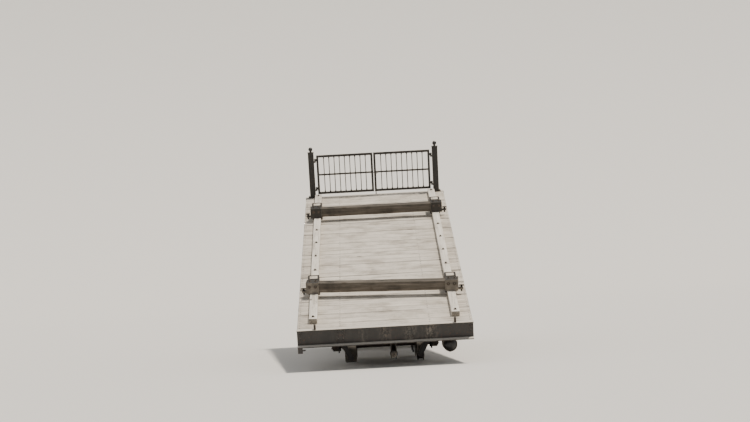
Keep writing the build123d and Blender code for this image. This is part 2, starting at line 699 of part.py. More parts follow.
def gate_posts():
    """Channel posts on foot plates, with knobs on top and hinge pins on the inner side."""
    width, depth, thickness = POST_FOOT
    y = GATE_POST_STATION
    bar = channel(GATE_POST_WIDTH, GATE_POST_DEPTH, GATE_POST_WALL, GATE_POST_WALL,
                  GATE_POST_HEIGHT - thickness)
    upright = Rot(0, 0, 90) * (Rot(90, 0, 0) * bar)
    post = Pos(POST_CENTRE + GATE_POST_WIDTH / 2, y - GATE_POST_DEPTH / 2, thickness) * upright
    foot_start = DECK_LENGTH - depth
    post += block(POST_CENTRE - width / 2, POST_CENTRE + width / 2, foot_start, DECK_LENGTH,
                  0, thickness)
    post += block(POST_CENTRE - GATE_POST_WIDTH / 2 - 5, POST_CENTRE + GATE_POST_WIDTH / 2 + 5,
                  y - GATE_POST_DEPTH / 2 - 5, y + GATE_POST_DEPTH / 2 + 5,
                  GATE_POST_HEIGHT, GATE_POST_HEIGHT + 12)
    neck = GATE_POST_HEIGHT + 12
    post += cylinder_between(KNOB_DIAMETER / 4, (POST_CENTRE, y, neck), (POST_CENTRE, y, neck + 40))
    post += Pos(POST_CENTRE, y, neck + 20 + KNOB_DIAMETER / 2) * Sphere(KNOB_DIAMETER / 2)
    x = hinge_place()
    for level in PIN_LEVELS:
        post += block(x - PINTLE_ARM / 2, POST_CENTRE - GATE_POST_WIDTH / 2,
                      y - PINTLE_ARM / 2, y + PINTLE_ARM / 2, level - PINTLE_ARM, level)
        post += cylinder_between(PIN_DIAMETER / 2, (x, y, level), (x, y, level + KNUCKLE_HEIGHT + 8))
    return [DECK * piece for piece in both_sides(post)]


def gate_leaf():
    """Right-hand leaf of iron bars, from its hinge knuckles to the middle of the car."""
    x_hinge = hinge_place()
    y = GATE_POST_STATION
    outer = x_hinge - LEAF_HINGE_GAP
    inner = LEAF_MEETING_GAP
    half = LEAF_BAR / 2
    outline = block(inner, outer, y - half, y + half, LEAF_BOTTOM, LEAF_TOP)
    window = block(inner + LEAF_STILE, outer - LEAF_STILE, y - half - 1, y + half + 1,
                   LEAF_BOTTOM + LEAF_STILE, LEAF_TOP - LEAF_STILE)
    leaf = outline - window
    span = outer - inner - 2 * LEAF_STILE
    for index in range(PICKET_COUNT):
        x = inner + LEAF_STILE + span * (index + 1) / (PICKET_COUNT + 1)
        leaf += cylinder_between(PICKET_DIAMETER / 2, (x, y, LEAF_BOTTOM + LEAF_STILE / 2),
                                 (x, y, LEAF_TOP - LEAF_STILE / 2))
    middle = (LEAF_BOTTOM + LEAF_TOP) / 2
    leaf += block(inner, outer, y - half, y + half, middle - half, middle + half)
    for level in PIN_LEVELS:
        low = level + RUNNING_CLEARANCE
        high = low + KNUCKLE_HEIGHT
        leaf += block(outer - 10, x_hinge, y - half / 2, y + half / 2, low, high)
        leaf += cylinder_between(KNUCKLE_DIAMETER / 2, (x_hinge, y, low), (x_hinge, y, high))
        leaf -= cylinder_between(PIN_DIAMETER / 2 + RUNNING_CLEARANCE, (x_hinge, y, low - 1),
                                 (x_hinge, y, high + 1))
    return DECK * leaf


# Wheelsets and bogies

def wheel_outline(x, rim_half, flanges):
    """Radial profile of one wheel as (X, radius) points, from its inner hub face outwards."""
    inner, outer = x - rim_half, x + rim_half
    bead = TREAD_RADIUS - RIM_THICKNESS
    crown = TREAD_RADIUS + FLANGE_HEIGHT
    web = WHEEL_WEB / 2
    hub = HUB_WIDTH / 2
    slant = 10
    points = [(x - hub, AXLE_RADIUS - 5), (x - hub, HUB_RADIUS), (x - web - slant, HUB_RADIUS + 12),
              (x - web, bead - 12), (inner, bead)]
    if flanges:
        points += [(inner, crown - 8), (inner + 8, crown), (inner + FLANGE_WIDTH - 8, crown),
                   (inner + FLANGE_WIDTH, TREAD_RADIUS), (outer - FLANGE_WIDTH, TREAD_RADIUS),
                   (outer - FLANGE_WIDTH + 8, crown), (outer - 8, crown), (outer, crown - 8)]
    else:
        points += [(inner, TREAD_RADIUS - 6), (inner + 6, TREAD_RADIUS),
                   (outer - 6, TREAD_RADIUS), (outer, TREAD_RADIUS - 6)]
    points += [(outer, bead), (x + web, bead - 12), (x + web + slant, HUB_RADIUS + 12),
               (x + hub, HUB_RADIUS), (x + hub, AXLE_RADIUS - 5)]
    return points


def wheelset(y):
    """Axle with a double-flanged wheel on the rope side and a drum wheel on the other."""
    end = JOURNAL_END
    journal = JOURNAL_START
    profile = [(-end, 0), (-end, JOURNAL_RADIUS), (-journal, JOURNAL_RADIUS), (-journal, AXLE_RADIUS),
               (journal, AXLE_RADIUS), (journal, JOURNAL_RADIUS), (end, JOURNAL_RADIUS), (end, 0)]
    axle = revolve(make_face(Polyline(*profile, close=True)), axis=Axis.X)
    flanged = wheel_outline(GAUGE_HALF, TREAD_WIDTH / 2 + FLANGE_WIDTH, True)
    drum = wheel_outline(-GAUGE_HALF, DRUM_WIDTH / 2, False)
    for outline in (flanged, drum):
        wheel = revolve(make_face(Polyline(*outline, close=True)), axis=Axis.X)
        x = GAUGE_HALF if outline is flanged else -GAUGE_HALF
        for index in range(WHEEL_HOLES):
            turn = Rot(360 / WHEEL_HOLES * index, 0, 0)
            hole = cylinder_between(WHEEL_HOLE_RADIUS, (x - 60, WHEEL_HOLE_CIRCLE, 0),
                                    (x + 60, WHEEL_HOLE_CIRCLE, 0))
            wheel -= turn * hole
        axle += wheel
    return TRACK * (Pos(0, y, AXLE_HEIGHT) * axle)


def axle_places(pivot):
    """Both axles of a bogie, uphill one first."""
    return pivot - WHEELBASE / 2, pivot + WHEELBASE / 2


def leaf_low(index):
    """Height above the rail of a spring leaf's underside at its middle, counted from below."""
    return BOX_HIGH + SPRING_SEAT + index * LEAF_THICKNESS


def leaf_rise(half):
    """Rise of a spring leaf at a distance from its middle."""
    return SPRING_RADIUS - (SPRING_RADIUS ** 2 - half ** 2) ** 0.5


def spring_eye_height():
    """Height above the rail of the eyes that are rolled on the longest leaf."""
    return leaf_low(SPRING_LEAVES - 1) + leaf_rise(SPRING_HALF_LENGTH) + SPRING_EYE_RADIUS


def spring_hanger(y):
    """Raised lug of a frame plate with the headed pin that carries one eye of a spring."""
    x0, x1 = FRAME_INNER, FRAME_INNER + FRAME_PLATE
    z = spring_eye_height()
    head_radius, head_length = SPRING_PIN_HEAD
    end = x1 + SPRING_GAP + SPRING_WIDTH
    lug = block(x0, x1, y - SPRING_LUG_WIDTH / 2, y + SPRING_LUG_WIDTH / 2, z - SPRING_LUG_DROP, z)
    lug += cylinder_between(SPRING_LUG_WIDTH / 2, (x0, y, z), (x1, y, z))
    lug += cylinder_between(SPRING_PIN_RADIUS, (x0, y, z), (end + head_length, y, z))
    lug += cylinder_between(head_radius, (end + RUNNING_CLEARANCE, y, z), (end + head_length, y, z))
    return lug


def bogie_side_frames(pivot, guard_side):
    """Plate frames outside the wheels with horn gaps, inner flange, stays and guard irons."""
    half = FRAME_HALF_LENGTH
    shoulder = FRAME_HIGH - FRAME_SHOULDER
    slope_start = half - FRAME_SLOPE_RUN
    outline = [(-half, shoulder - HORN_FOOT), (-half, shoulder), (-slope_start, FRAME_HIGH),
               (slope_start, FRAME_HIGH), (half, shoulder), (half, shoulder - HORN_FOOT),
               (half - FRAME_FOOT_RUN, FRAME_LOW), (-half + FRAME_FOOT_RUN, FRAME_LOW)]
    x0, x1 = FRAME_INNER, FRAME_INNER + FRAME_PLATE
    plate = yz_plate(outline, x0, x1)
    for y in (-WHEELBASE / 2, WHEELBASE / 2):
        gap = block(x0 - 1, x1 + 1, y - HORN_WIDTH / 2, y + HORN_WIDTH / 2, FRAME_LOW - 1, HORN_TOP)
        plate -= fillet(gap.edges().filter_by(Axis.X).group_by(Axis.Z)[-1], 24)
        plate += block(x0, x1, y - HORN_WIDTH / 2 - HORN_FOOT, y + HORN_WIDTH / 2 + HORN_FOOT,
                       FRAME_LOW - STAY_DEPTH - HORN_FOOT / 2, FRAME_LOW - HORN_FOOT / 2)
        for side in (-1, 1):
            edge = y + side * (HORN_WIDTH / 2 + HORN_FOOT / 2)
            plate += block(x0, x1, edge - HORN_FOOT / 2, edge + HORN_FOOT / 2,
                           FRAME_LOW - HORN_FOOT / 2 - 2, FRAME_LOW + HORN_FOOT / 2)
            plate += spring_hanger(y + side * SPRING_HALF_LENGTH)
    window = extrude(Plane.YZ * SlotOverall(FRAME_WINDOW_LENGTH, FRAME_WINDOW_HEIGHT),
                     amount=FRAME_PLATE + 2)
    plate -= Pos(x0 - 1, 0, (FRAME_LOW + FRAME_HIGH) / 2 - 20) * window
    plate += block(x0 - FRAME_FLANGE_WIDTH, x0, -slope_start, slope_start,
                   FRAME_HIGH - FRAME_FLANGE_THICKNESS, FRAME_HIGH)
    guard_y = guard_side * (half + GUARD_THICKNESS / 2)
    low_x = GAUGE_HALF - GUARD_WIDTH / 2
    arm = [(x1, shoulder), (x0 - 60, shoulder), (low_x, GUARD_LOW + 60), (low_x, GUARD_LOW),
           (low_x + GUARD_WIDTH, GUARD_LOW), (low_x + GUARD_WIDTH, GUARD_LOW + 60),
           (x1, shoulder - 60)]
    plate += xz_plate(arm, guard_y - GUARD_THICKNESS / 2, guard_y + GUARD_THICKNESS / 2)
    return both_sides(TRACK * (Pos(0, pivot, 0) * plate))


def bogie_cross_beam(pivot):
    """Two transoms with the bolster between them, centre bearing and side pads."""
    beam = None
    for side in (-1, 1):
        bar = channel(TRANSOM_DEPTH, TRANSOM_WIDTH, BEARER_WEB, BEARER_FLANGE, 2 * FRAME_INNER)
        laid = Pos(-FRAME_INNER, TRANSOM_OFFSET + TRANSOM_WIDTH, FRAME_HIGH - FRAME_FLANGE_THICKNESS)
        transom = laid * (Rot(0, 0, -90) * bar)
        transom = transom if side > 0 else mirror(transom, about=Plane.XZ)
        beam = transom if beam is None else beam + transom
    reach = TRANSOM_OFFSET + BEARER_FLANGE
    bolster = block(-BOLSTER_HALF_LENGTH, BOLSTER_HALF_LENGTH, -reach, reach, BOLSTER_LOW, BOLSTER_HIGH)
    bolster = chamfer(bolster.edges().filter_by(Axis.Y).group_by(Axis.Z)[0], 60)
    beam += bolster
    beam += cylinder_between(CENTRE_RADIUS, (0, 0, BOLSTER_HIGH), (0, 0, CENTRE_SEAT))
    bore = CENTRE_PIN_RADIUS + RUNNING_CLEARANCE
    beam -= cylinder_between(bore, (0, 0, CENTRE_PIN_END - 10), (0, 0, CENTRE_SEAT + 1))
    for x in (-BEARER_PAD_OFFSET, BEARER_PAD_OFFSET):
        beam += block(x - 70, x + 70, -70, 70, BOLSTER_HIGH, CENTRE_SEAT - BEARER_PAD_GAP)
    return TRACK * (Pos(0, pivot, 0) * beam)


def bogie_axleboxes(pivot):
    """Four axleboxes that slide in the horn gaps, bored for the journals."""
    boxes = []
    half = HORN_WIDTH / 2 - BOX_CLEARANCE
    for y in axle_places(pivot):
        box = block(BOX_INNER, BOX_OUTER, y - half, y + half, BOX_LOW, BOX_HIGH)
        box = chamfer(box.edges().filter_by(Axis.X), 16)
        box += cylinder_between(80, (BOX_OUTER, y, AXLE_HEIGHT), (BOX_OUTER + 16, y, AXLE_HEIGHT))
        bore = JOURNAL_RADIUS + RUNNING_CLEARANCE
        box -= cylinder_between(bore, (BOX_INNER - 1, y, AXLE_HEIGHT), (JOURNAL_END + 5, y, AXLE_HEIGHT))
        boxes += both_sides(TRACK * box)
    return boxes


def bogie_springs(pivot):
    """Leaf springs above the axleboxes, outside the frames."""
    x0 = FRAME_INNER + FRAME_PLATE + SPRING_GAP
    x1 = x0 + SPRING_WIDTH
    seat = BOX_HIGH
    springs = []
    for y in axle_places(pivot):
        stack = LEAF_THICKNESS * SPRING_LEAVES
        spring = block(x0 - SPRING_GAP, x1 + 3, y - BUCKLE_WIDTH / 2, y + BUCKLE_WIDTH / 2,
                       seat, seat + stack + 2 * SPRING_SEAT)
        for index in range(SPRING_LEAVES):
            low = leaf_low(index)
            half = SPRING_HALF_LENGTH * (1 - 0.13 * (SPRING_LEAVES - 1 - index))
            rise = leaf_rise(half)
            face = make_face([
                ThreePointArc((y - half, low + rise), (y, low), (y + half, low + rise)),
                Line((y + half, low + rise), (y + half, low + rise + LEAF_THICKNESS)),
                ThreePointArc((y + half, low + rise + LEAF_THICKNESS), (y, low + LEAF_THICKNESS),
                              (y - half, low + rise + LEAF_THICKNESS)),
                Line((y - half, low + rise + LEAF_THICKNESS), (y - half, low + rise)),
            ])
            spring += Pos(x0, 0, 0) * extrude(Plane.YZ * face, amount=SPRING_WIDTH)
        for end in (y - SPRING_HALF_LENGTH, y + SPRING_HALF_LENGTH):
            z = spring_eye_height()
            spring += cylinder_between(SPRING_EYE_RADIUS, (x0, end, z), (x1, end, z))
            spring -= cylinder_between(SPRING_PIN_RADIUS + RUNNING_CLEARANCE, (x0 - 1, end, z),
                                       (x1 + 1, end, z))
        springs += both_sides(TRACK * spring)
    return springs


# Rail brakes, rope anchor and air tank

def brake_hangers():
    """Plate frames under the bottom chords that carry the fulcrum pins of the rail brakes."""
    hangers = []
    reach = RAIL_HEAD_HALF + JAW_CLEARANCE + LEVER_THICKNESS
    for y in BRAKE_STATIONS:
        for side in (-1, 1):
            face = y + side * (LEVER_WIDTH / 2 + 1)
            y0, y1 = sorted((face, face + side * HANGER_PLATE))
            x = GAUGE_HALF
            outline = [(x - reach - 30, BOTTOM_CHORD_HEIGHT), (CHORD_OUTER, BOTTOM_CHORD_HEIGHT),
                       (x + reach + 10, FULCRUM_HEIGHT + 60), (x + reach + 10, FULCRUM_HEIGHT - 50),
                       (x - reach - 10, FULCRUM_HEIGHT - 50), (x - reach - 10, FULCRUM_HEIGHT + 60)]
            hangers += both_sides(TRACK * xz_plate(outline, y0, y1))
    return hangers


def brake_levers():
    """Pairs of jaw levers on their fulcrum pins, open beside the rail head."""
    levers = []
    gap = RAIL_HEAD_HALF + JAW_CLEARANCE
    for y in BRAKE_STATIONS:
        for side in (-1, 1):
            x = GAUGE_HALF
            near = x + side * gap
            waist = x + side * (gap + 8)
            far = x + side * (gap + LEVER_THICKNESS)
            outline = [(near, JAW_LOW), (far, JAW_LOW), (far, SPINDLE_HEIGHT + 40),
                       (waist, SPINDLE_HEIGHT + 40), (waist, 20), (near, 12)]
            lever = xz_plate(outline, y - LEVER_WIDTH / 2, y + LEVER_WIDTH / 2)
            pin = (waist + far) / 2
            lever += cylinder_between(12, (pin, y - LEVER_WIDTH / 2 - 1, FULCRUM_HEIGHT),
                                      (pin, y + LEVER_WIDTH / 2 + 1, FULCRUM_HEIGHT))
            hole = SPINDLE_RADIUS + RUNNING_CLEARANCE
            lever -= cylinder_between(hole, (x, y, SPINDLE_HEIGHT),
                                      (x + side * 2 * (gap + LEVER_THICKNESS), y, SPINDLE_HEIGHT))
            levers += both_sides(TRACK * lever)
    return levers


def brake_spindles():
    """Cross spindles through the lever heads, each with its spring drum."""
    spindles = []
    for y in BRAKE_STATIONS:
        reach = RAIL_HEAD_HALF + JAW_CLEARANCE + LEVER_THICKNESS
        inner = GAUGE_HALF - reach - SPINDLE_DRUM_LENGTH
        outer = GAUGE_HALF + reach + SPINDLE_NUT_LENGTH
        spindle = cylinder_between(SPINDLE_RADIUS, (inner, y, SPINDLE_HEIGHT), (outer, y, SPINDLE_HEIGHT))
        spindle += cylinder_between(SPINDLE_DRUM_RADIUS, (inner, y, SPINDLE_HEIGHT),
                                    (GAUGE_HALF - reach - RUNNING_CLEARANCE, y, SPINDLE_HEIGHT))
        spindle += cylinder_between(SPINDLE_NUT_RADIUS,
                                    (GAUGE_HALF + reach + RUNNING_CLEARANCE, y, SPINDLE_HEIGHT),
                                    (outer, y, SPINDLE_HEIGHT))
        spindles += both_sides(TRACK * spindle)
    return spindles


def rope_anchor():
    """Two cheek plates behind the uphill headstock with their pin and the strut behind them."""
    start = HEADSTOCK_WIDTH
    end = start + CHEEK_LENGTH
    foot_start, foot_end = (start + reach for reach in CHEEK_FOOT_SPAN)
    outline = [(start, -CHEEK_TOP), (end, -CHEEK_TOP), (end, -CHEEK_NECK), (foot_end, -CHEEK_FOOT),
               (foot_start, -CHEEK_FOOT), (start, -CHEEK_NECK)]
    points = [along_deck(station, level) for station, level in outline]
    anchor = None
    for side in (-1, 1):
        inner = ROPE_OFFSET + side * ANCHOR_HALF_GAP
        x0, x1 = sorted((inner, inner + side * ANCHOR_PLATE))
        cheek = yz_plate(points, x0, x1)
        anchor = cheek if anchor is None else anchor + cheek
    reach = ANCHOR_HALF_GAP + ANCHOR_PLATE + 14
    anchor += cylinder_between(ANCHOR_PIN_RADIUS, (ROPE_OFFSET - reach, ANCHOR_PIN_STATION, ROPE_HEIGHT),
                               (ROPE_OFFSET + reach, ANCHOR_PIN_STATION, ROPE_HEIGHT))
    head = along_deck(BEARER_STATIONS[1] + BEARER_WIDTH / 2, TOP_CHORD_LOW)
    strut = [(ANCHOR_PIN_STATION + along, ROPE_HEIGHT + up) for along, up in STRUT_FOOT]
    strut += [(head[0] + along, head[1] + up) for along, up in STRUT_HEAD]
    bar = yz_plate(strut, ROPE_OFFSET - ANCHOR_HALF_GAP, ROPE_OFFSET + ANCHOR_HALF_GAP)
    anchor += bar - TRACK.inverse() * (DECK * block(-DECK_WIDTH, DECK_WIDTH, -BEYOND, BEYOND,
                                                    TOP_CHORD_LOW, BEYOND))
    return TRACK * anchor


def rope_socket():
    """Forged cone that holds the rope end, with an eye round the anchor pin."""
    pin = ANCHOR_PIN_STATION
    nose = pin - SOCKET_LENGTH
    eye = ANCHOR_HALF_GAP - 1
    profile = [(0, nose), (30, nose), (34, nose + 12), (50, pin - 110), (50, pin - 92), (0, pin - 92)]
    cone = revolve(make_face(Polyline(*profile, close=True)), axis=Axis.Y)
    socket = cone + block(-eye, eye, pin - 110, pin, -36, 36)
    socket += cylinder_between(46, (-eye, pin, 0), (eye, pin, 0))
    bore = ANCHOR_PIN_RADIUS + RUNNING_CLEARANCE
    socket -= cylinder_between(bore, (-eye - 1, pin, 0), (eye + 1, pin, 0))
    socket -= cylinder_between(ROPE_BORE_RADIUS, (0, nose - 1, 0), (0, nose + ROPE_BORE_DEPTH, 0))
    return TRACK * (Pos(ROPE_OFFSET, 0, ROPE_HEIGHT) * socket)


def strap_place(station):
    """Place down the track of a tank strap under an outrigger's root."""
    return along_deck(station, TOP_CHORD_LOW)[0]


def air_tank():
    """Domed cylinder along the car under the right-hand walkway."""
    start = strap_place(BEARER_STATIONS[0]) - TANK_OVERHANG
    end = strap_place(BEARER_STATIONS[1]) + TANK_OVERHANG
    radius = TANK_RADIUS
    dome = TANK_DOME
    shell = cylinder_between(radius, (0, start + dome, 0), (0, end - dome, 0))
    for seam, tip in ((start + dome, start), (end - dome, end)):
        cap = make_face([
            Line((0, seam), (0, tip)),
            ThreePointArc((0, tip), (radius * 0.62, tip + (seam - tip) * 0.22), (radius, seam)),
            Line((radius, seam), (0, seam)),
        ])
        shell += revolve(cap, axis=Axis.Y)
    return TRACK * (Pos(TANK_OFFSET, 0, TANK_HEIGHT) * shell)


def tank_straps():
    """Flat hoops round the tank, hung from the outriggers above."""
    straps = []
    gap = RUNNING_CLEARANCE
    for station in BEARER_STATIONS[:2]:
        y = strap_place(station)
        ring = Circle(TANK_RADIUS + gap + TANK_STRAP) - Circle(TANK_RADIUS + gap)
        hoop = extrude(Plane.XZ * ring, amount=TANK_STRAP_WIDTH / 2, both=True)
        x = TANK_RADIUS + gap + TANK_STRAP
        for side in (-1, 1):
            x0, x1 = sorted((side * x, side * (x - TANK_STRAP)))
            hoop += block(x0, x1, -TANK_STRAP_WIDTH / 2, TANK_STRAP_WIDTH / 2, 0, DECK_EDGE_HEIGHT)
        hoop = TRACK * (Pos(TANK_OFFSET, y, TANK_HEIGHT) * hoop)
        straps.append(hoop - outrigger_underside_cut())
    return straps


def outrigger_underside_cut():
    """Space above the sloping undersides of the right-hand outriggers."""
    root, tip = CHORD_OUTER, DECK_WIDTH / 2 - SILL_WIDTH
    outline = [(root, TOP_CHORD_LOW), (tip, -BOARD_THICKNESS - OUTRIGGER_TIP_DEPTH),
               (tip, DECK_WIDTH), (root, DECK_WIDTH)]
    return DECK * xz_plate(outline, -BEYOND, BEYOND)


# Write every sub-part

save("deck_boards", deck_boards())
save("kerb_timbers", kerb_timbers())
save("headstock_uphill", headstock(False))
save("headstock_downhill", headstock(True))
save("side_sills", side_sills())
save("top_chords", top_chords())
save("centre_stringer", centre_stringer())
save("cross_bearers", cross_bearers())
save("outriggers", outriggers())
save("bottom_chords", bottom_chords())
save("truss_posts", truss_posts())
save("truss_diagonals", truss_diagonals())
save("gusset_plates", gusset_plates())
save("bottom_ties", bottom_ties())
save("sway_braces", sway_braces())
save("body_bolsters", body_bolsters())
save("chock_beams", chock_beams())
save("chock_shoes", chock_shoes())
save("chock_end_irons", chock_end_irons())
save("chock_screws", chock_screws())
save("ramp_lugs", ramp_lugs())
save("gate_posts", gate_posts())
save("gate_right", gate_leaf())
save("gate_left", mirror(gate_leaf(), about=Plane.YZ))
for number, pivot in enumerate(BOGIE_PIVOTS, start=1):
    save(f"bogie_{number}_side_frames", bogie_side_frames(pivot, -1 if number == 1 else 1))
    save(f"bogie_{number}_cross_beam", bogie_cross_beam(pivot))
    save(f"bogie_{number}_axleboxes", bogie_axleboxes(pivot))
    save(f"bogie_{number}_springs", bogie_springs(pivot))
    for place, axle in enumerate(axle_places(pivot), start=1):
        save(f"wheelset_{2 * (number - 1) + place}", wheelset(axle))
save("brake_hangers", brake_hangers())
save("brake_levers", brake_levers())
save("brake_spindles", brake_spindles())
save("rope_anchor", rope_anchor())
save("rope_socket", rope_socket())
save("air_tank", air_tank())
save("tank_straps", tank_straps())
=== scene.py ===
"""Dresses the platform car of a funicular: timber, iron, paint, fastenings, stage and camera."""

import math
import random
from contextlib import contextmanager
from functools import partial

import bpy
from bpy.props import FloatProperty, FloatVectorProperty, IntProperty, PointerProperty
from mathutils import Matrix, Vector


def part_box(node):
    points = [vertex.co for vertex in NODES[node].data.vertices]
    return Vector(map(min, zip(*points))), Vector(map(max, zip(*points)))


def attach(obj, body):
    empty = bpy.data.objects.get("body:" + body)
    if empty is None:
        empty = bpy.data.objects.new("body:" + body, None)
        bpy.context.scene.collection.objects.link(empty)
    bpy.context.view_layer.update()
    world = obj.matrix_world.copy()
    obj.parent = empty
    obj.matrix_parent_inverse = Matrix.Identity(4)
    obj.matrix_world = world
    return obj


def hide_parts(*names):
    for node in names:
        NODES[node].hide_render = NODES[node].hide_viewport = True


bl_info = {
    "name": "Funicular platform car",
    "version": (1, 0, 0),
    "blender": (4, 5, 0),
    "location": "3D View > Sidebar > Platform car",
    "description": "Timber deck, fastenings, finishes and stage of a funicular platform car",
    "category": "Object",
}

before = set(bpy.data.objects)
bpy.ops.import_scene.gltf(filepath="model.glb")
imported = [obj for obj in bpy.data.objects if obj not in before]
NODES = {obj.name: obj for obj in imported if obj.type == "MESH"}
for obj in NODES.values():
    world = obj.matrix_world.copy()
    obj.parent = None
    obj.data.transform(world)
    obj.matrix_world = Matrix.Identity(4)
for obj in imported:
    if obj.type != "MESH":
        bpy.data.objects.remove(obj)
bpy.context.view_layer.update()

# Frames of the car. In the deck's own frame X runs across, Y along the deck from its uphill
# edge and Z square to the boards, whose top is at zero. In the track's frame Z is height
# above the rail. Metres and radians.
SLOPE = math.radians(17.0)
HEADSTOCK_WIDTH = 0.100
HEADSTOCK_WEB = 0.010
HEADSTOCK_LOW, HEADSTOCK_HIGH = (Vector(corner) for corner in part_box("headstock_uphill"))
EDGE_Y = HEADSTOCK_LOW.y
DECK_HALF = HEADSTOCK_HIGH.x
RAIL_TOP = 0.028
DECK_EDGE_HEIGHT = 0.650
DECK_LENGTH = 8.500
DECK = Matrix.Translation((0, EDGE_Y, RAIL_TOP + DECK_EDGE_HEIGHT)) @ Matrix.Rotation(SLOPE, 4, "X")
TRACK = Matrix.Translation((0, EDGE_Y, RAIL_TOP))

# Timber
BOARD_COUNT = 36
BOARDS_PER_PANEL = 3
BOARD_THICKNESS = 0.060
BOARD_GAP = 0.005
PANEL_GAP = 0.014
END_GAP = 0.001
BOARD_INSET = 0.006
BOARD_SHORT = 0.009
BOARD_DIP = 0.0035
BOARD_PITCH = (DECK_LENGTH - 2 * HEADSTOCK_WIDTH) / BOARD_COUNT
KERB_INNER = 1.110
KERB_OUTER = 1.250
KERB_HEIGHT = 0.090
KERB_START = 0.330
KERB_END = 8.330
KERB_LENGTHS = 3
KERB_JOINT = 0.006
CHOCKS = ((0.1900 * DECK_LENGTH, math.radians(-5.5)), (0.7741 * DECK_LENGTH, 0.0))
CHOCK_HALF_LENGTH = 1.310
CHOCK_HALF_SECTION = 0.100
CAP_PLATE = 0.014
SHOE_LENGTH = 0.230
SHOE_RISE = 0.004
SHOE_PLATE = 0.030
SHOE_RIM = 0.030
SHOE_GAP = 0.004
PAD_GAP = 0.002
PAD_BED = 0.0005
PAD_SINK = 0.005

# Fastenings of the deck
BOARD_BOLTS = (0.27, 0.73)
BOARD_BOLT_RADIUS = 0.013
KERB_BOLTS = 10
KERB_BOLT_INSET = 0.10
KERB_BOLT_CLEARANCE = 0.55
CAP_BOLTS = (0.060, 0.165)
CAP_BOLT_SHIFT = 0.030

# Steel of the underframe
CHORD_OUTER = 0.775
CHORD_INNER = 0.700
CHORD_LINE = (CHORD_OUTER + CHORD_INNER) / 2
SILL_LINE = 1.405
SILL_WEB_FACE = 1.388
TOP_CHORD_LOW = -0.260
BOTTOM_CHORD_TOP = 0.880
GUSSET_FACE = CHORD_OUTER + 0.012
POST_STATIONS = tuple(share * DECK_LENGTH for share in (0.2765, 0.4088, 0.5412, 0.6735, 0.8059, 0.9294))
BEARER_STATIONS = tuple(share * DECK_LENGTH for share in
                        (0.0765, 0.1353, 0.2506, 0.3489, 0.4874, 0.6258, 0.7641, 0.8980))
POST_LINE = CHORD_OUTER - 0.029
FIRST_SWAY_POST = 2
SWAY_WIDTH = 0.080
SWAY_FACE = 0.059
BOLSTER_FACE = 0.129
CLEAT_THICKNESS = 0.009
CLEAT_MARGIN = 0.035

# Downhill gate, in the deck's frame: two leaves of round bars between two rails
GATE_STATION = DECK_LENGTH - 0.060
GATE_INNER = 0.008
GATE_OUTER = 1.185
GATE_STILE = 0.044
GATE_BARS = 9
GATE_MIDDLE = (0.070 + 0.905) / 2
COLLAR_LEVELS = (GATE_MIDDLE, 0.120, 0.855)
COLLAR_HALF = 0.021
LATCH_X = 0.030
LATCH_Y = GATE_STATION - 0.030
DROP_BOLT_Y = GATE_STATION - 0.026
DROP_GRIP_LEVEL = 0.296

# Running gear, heights above the rail
PIVOTS = (POST_STATIONS[0], POST_STATIONS[4])
HALF_WHEELBASE = 0.650
FRAME_FACE = 0.809
AXLE_HEIGHT = 0.300
COVER_FACE = 0.916
COVER_BOLT_CIRCLE = 0.062
HORN_EDGE = 0.128
BRAKES = (sum(PIVOTS) / 2 - 0.370, sum(PIVOTS) / 2 + 0.370)
GAUGE_HALF = 0.600
SPINDLE_HEIGHT = 0.440
SPINDLE_END = 0.716
FULCRUM_HEIGHT = 0.190
LEVER_ARM = 0.063
HANGER_FACE = 0.062
COIL_START = 0.378
COIL_RADIUS = 0.0475
COIL_WIRE = 0.0065
COIL_PITCH = 0.0225
COIL_TURNS = 6
SPRING_REACH = 0.330
SPRING_EYE_HEIGHT = 0.5524
SPRING_PIN_FACE = 0.8935
CLIP_REACH = 0.150
CLIP_BOLT_FACE = 0.888
LID_HINGE = (0.904, 0.405)

# Air tank and pipe, and the pin of the rope anchor
TANK_CENTRE = (1.080, 0.268)
TANK_RADIUS = 0.112
TANK_START = 0.640
TANK_END = 1.234
PIPE_RADIUS = 0.0135
SOCKET_RADIUS = PIPE_RADIUS * 1.4
SOCKET_LENGTH = 0.034
PIPE_FACE = 0.835
PIPE_RISE = 0.660
PIPE_LEVEL = 0.800
PIPE_CROSS = 0.700
UNION_START = 3.30
UNION_END = 3.35
ROPE_PIN = (0.124, 0.330, 0.186)
ROPE_BANDS = ((-0.215, 0.0375), (-0.150, 0.0445))

# Stage: a floor that sweeps up behind the car, a soft sky and one sun
FLOOR_HALF = 130.0
FLOOR_FRONT = -90.0
FLOOR_BACK = 40.0
SWEEP_RADIUS = 45.0
SWEEP_STEPS = 32
BACKDROP_RISE = 110.0
SUN_WAY = (0.30, -0.14, 0.94)
SUN_POWER = 4.2
SUN_ANGLE = math.radians(4.0)
SKY_STRENGTH = 0.75

# Camera, found from the vanishing points of the deck and of the track
PHOTO_WIDTH = 750
PHOTO_FOCAL = 1730.0
SENSOR_WIDTH = 36.0
CAMERA_PLACE = (-0.236, -32.418, 1.798)
CAMERA_AXES = ((0.9986, -0.0046, -0.0535), (0.0533, -0.0277, 0.9982), (-0.0061, -0.9996, -0.0274))
CAMERA_REACH = 600

SMOOTH_ANGLE = math.radians(35)
SIDES = (-1, 1)
MATERIALS = {}


def linear(hex_colour):
    """Turns an sRGB hex colour into linear RGBA."""
    values = [int(hex_colour[index:index + 2], 16) / 255 for index in (1, 3, 5)]
    curve = [v / 12.92 if v <= 0.04045 else ((v + 0.055) / 1.055) ** 2.4 for v in values]
    return (*curve, 1.0)


def per_mm(size):
    """Texture scale, per metre, of a pattern whose features are this many millimetres apart."""
    return 1000.0 / size


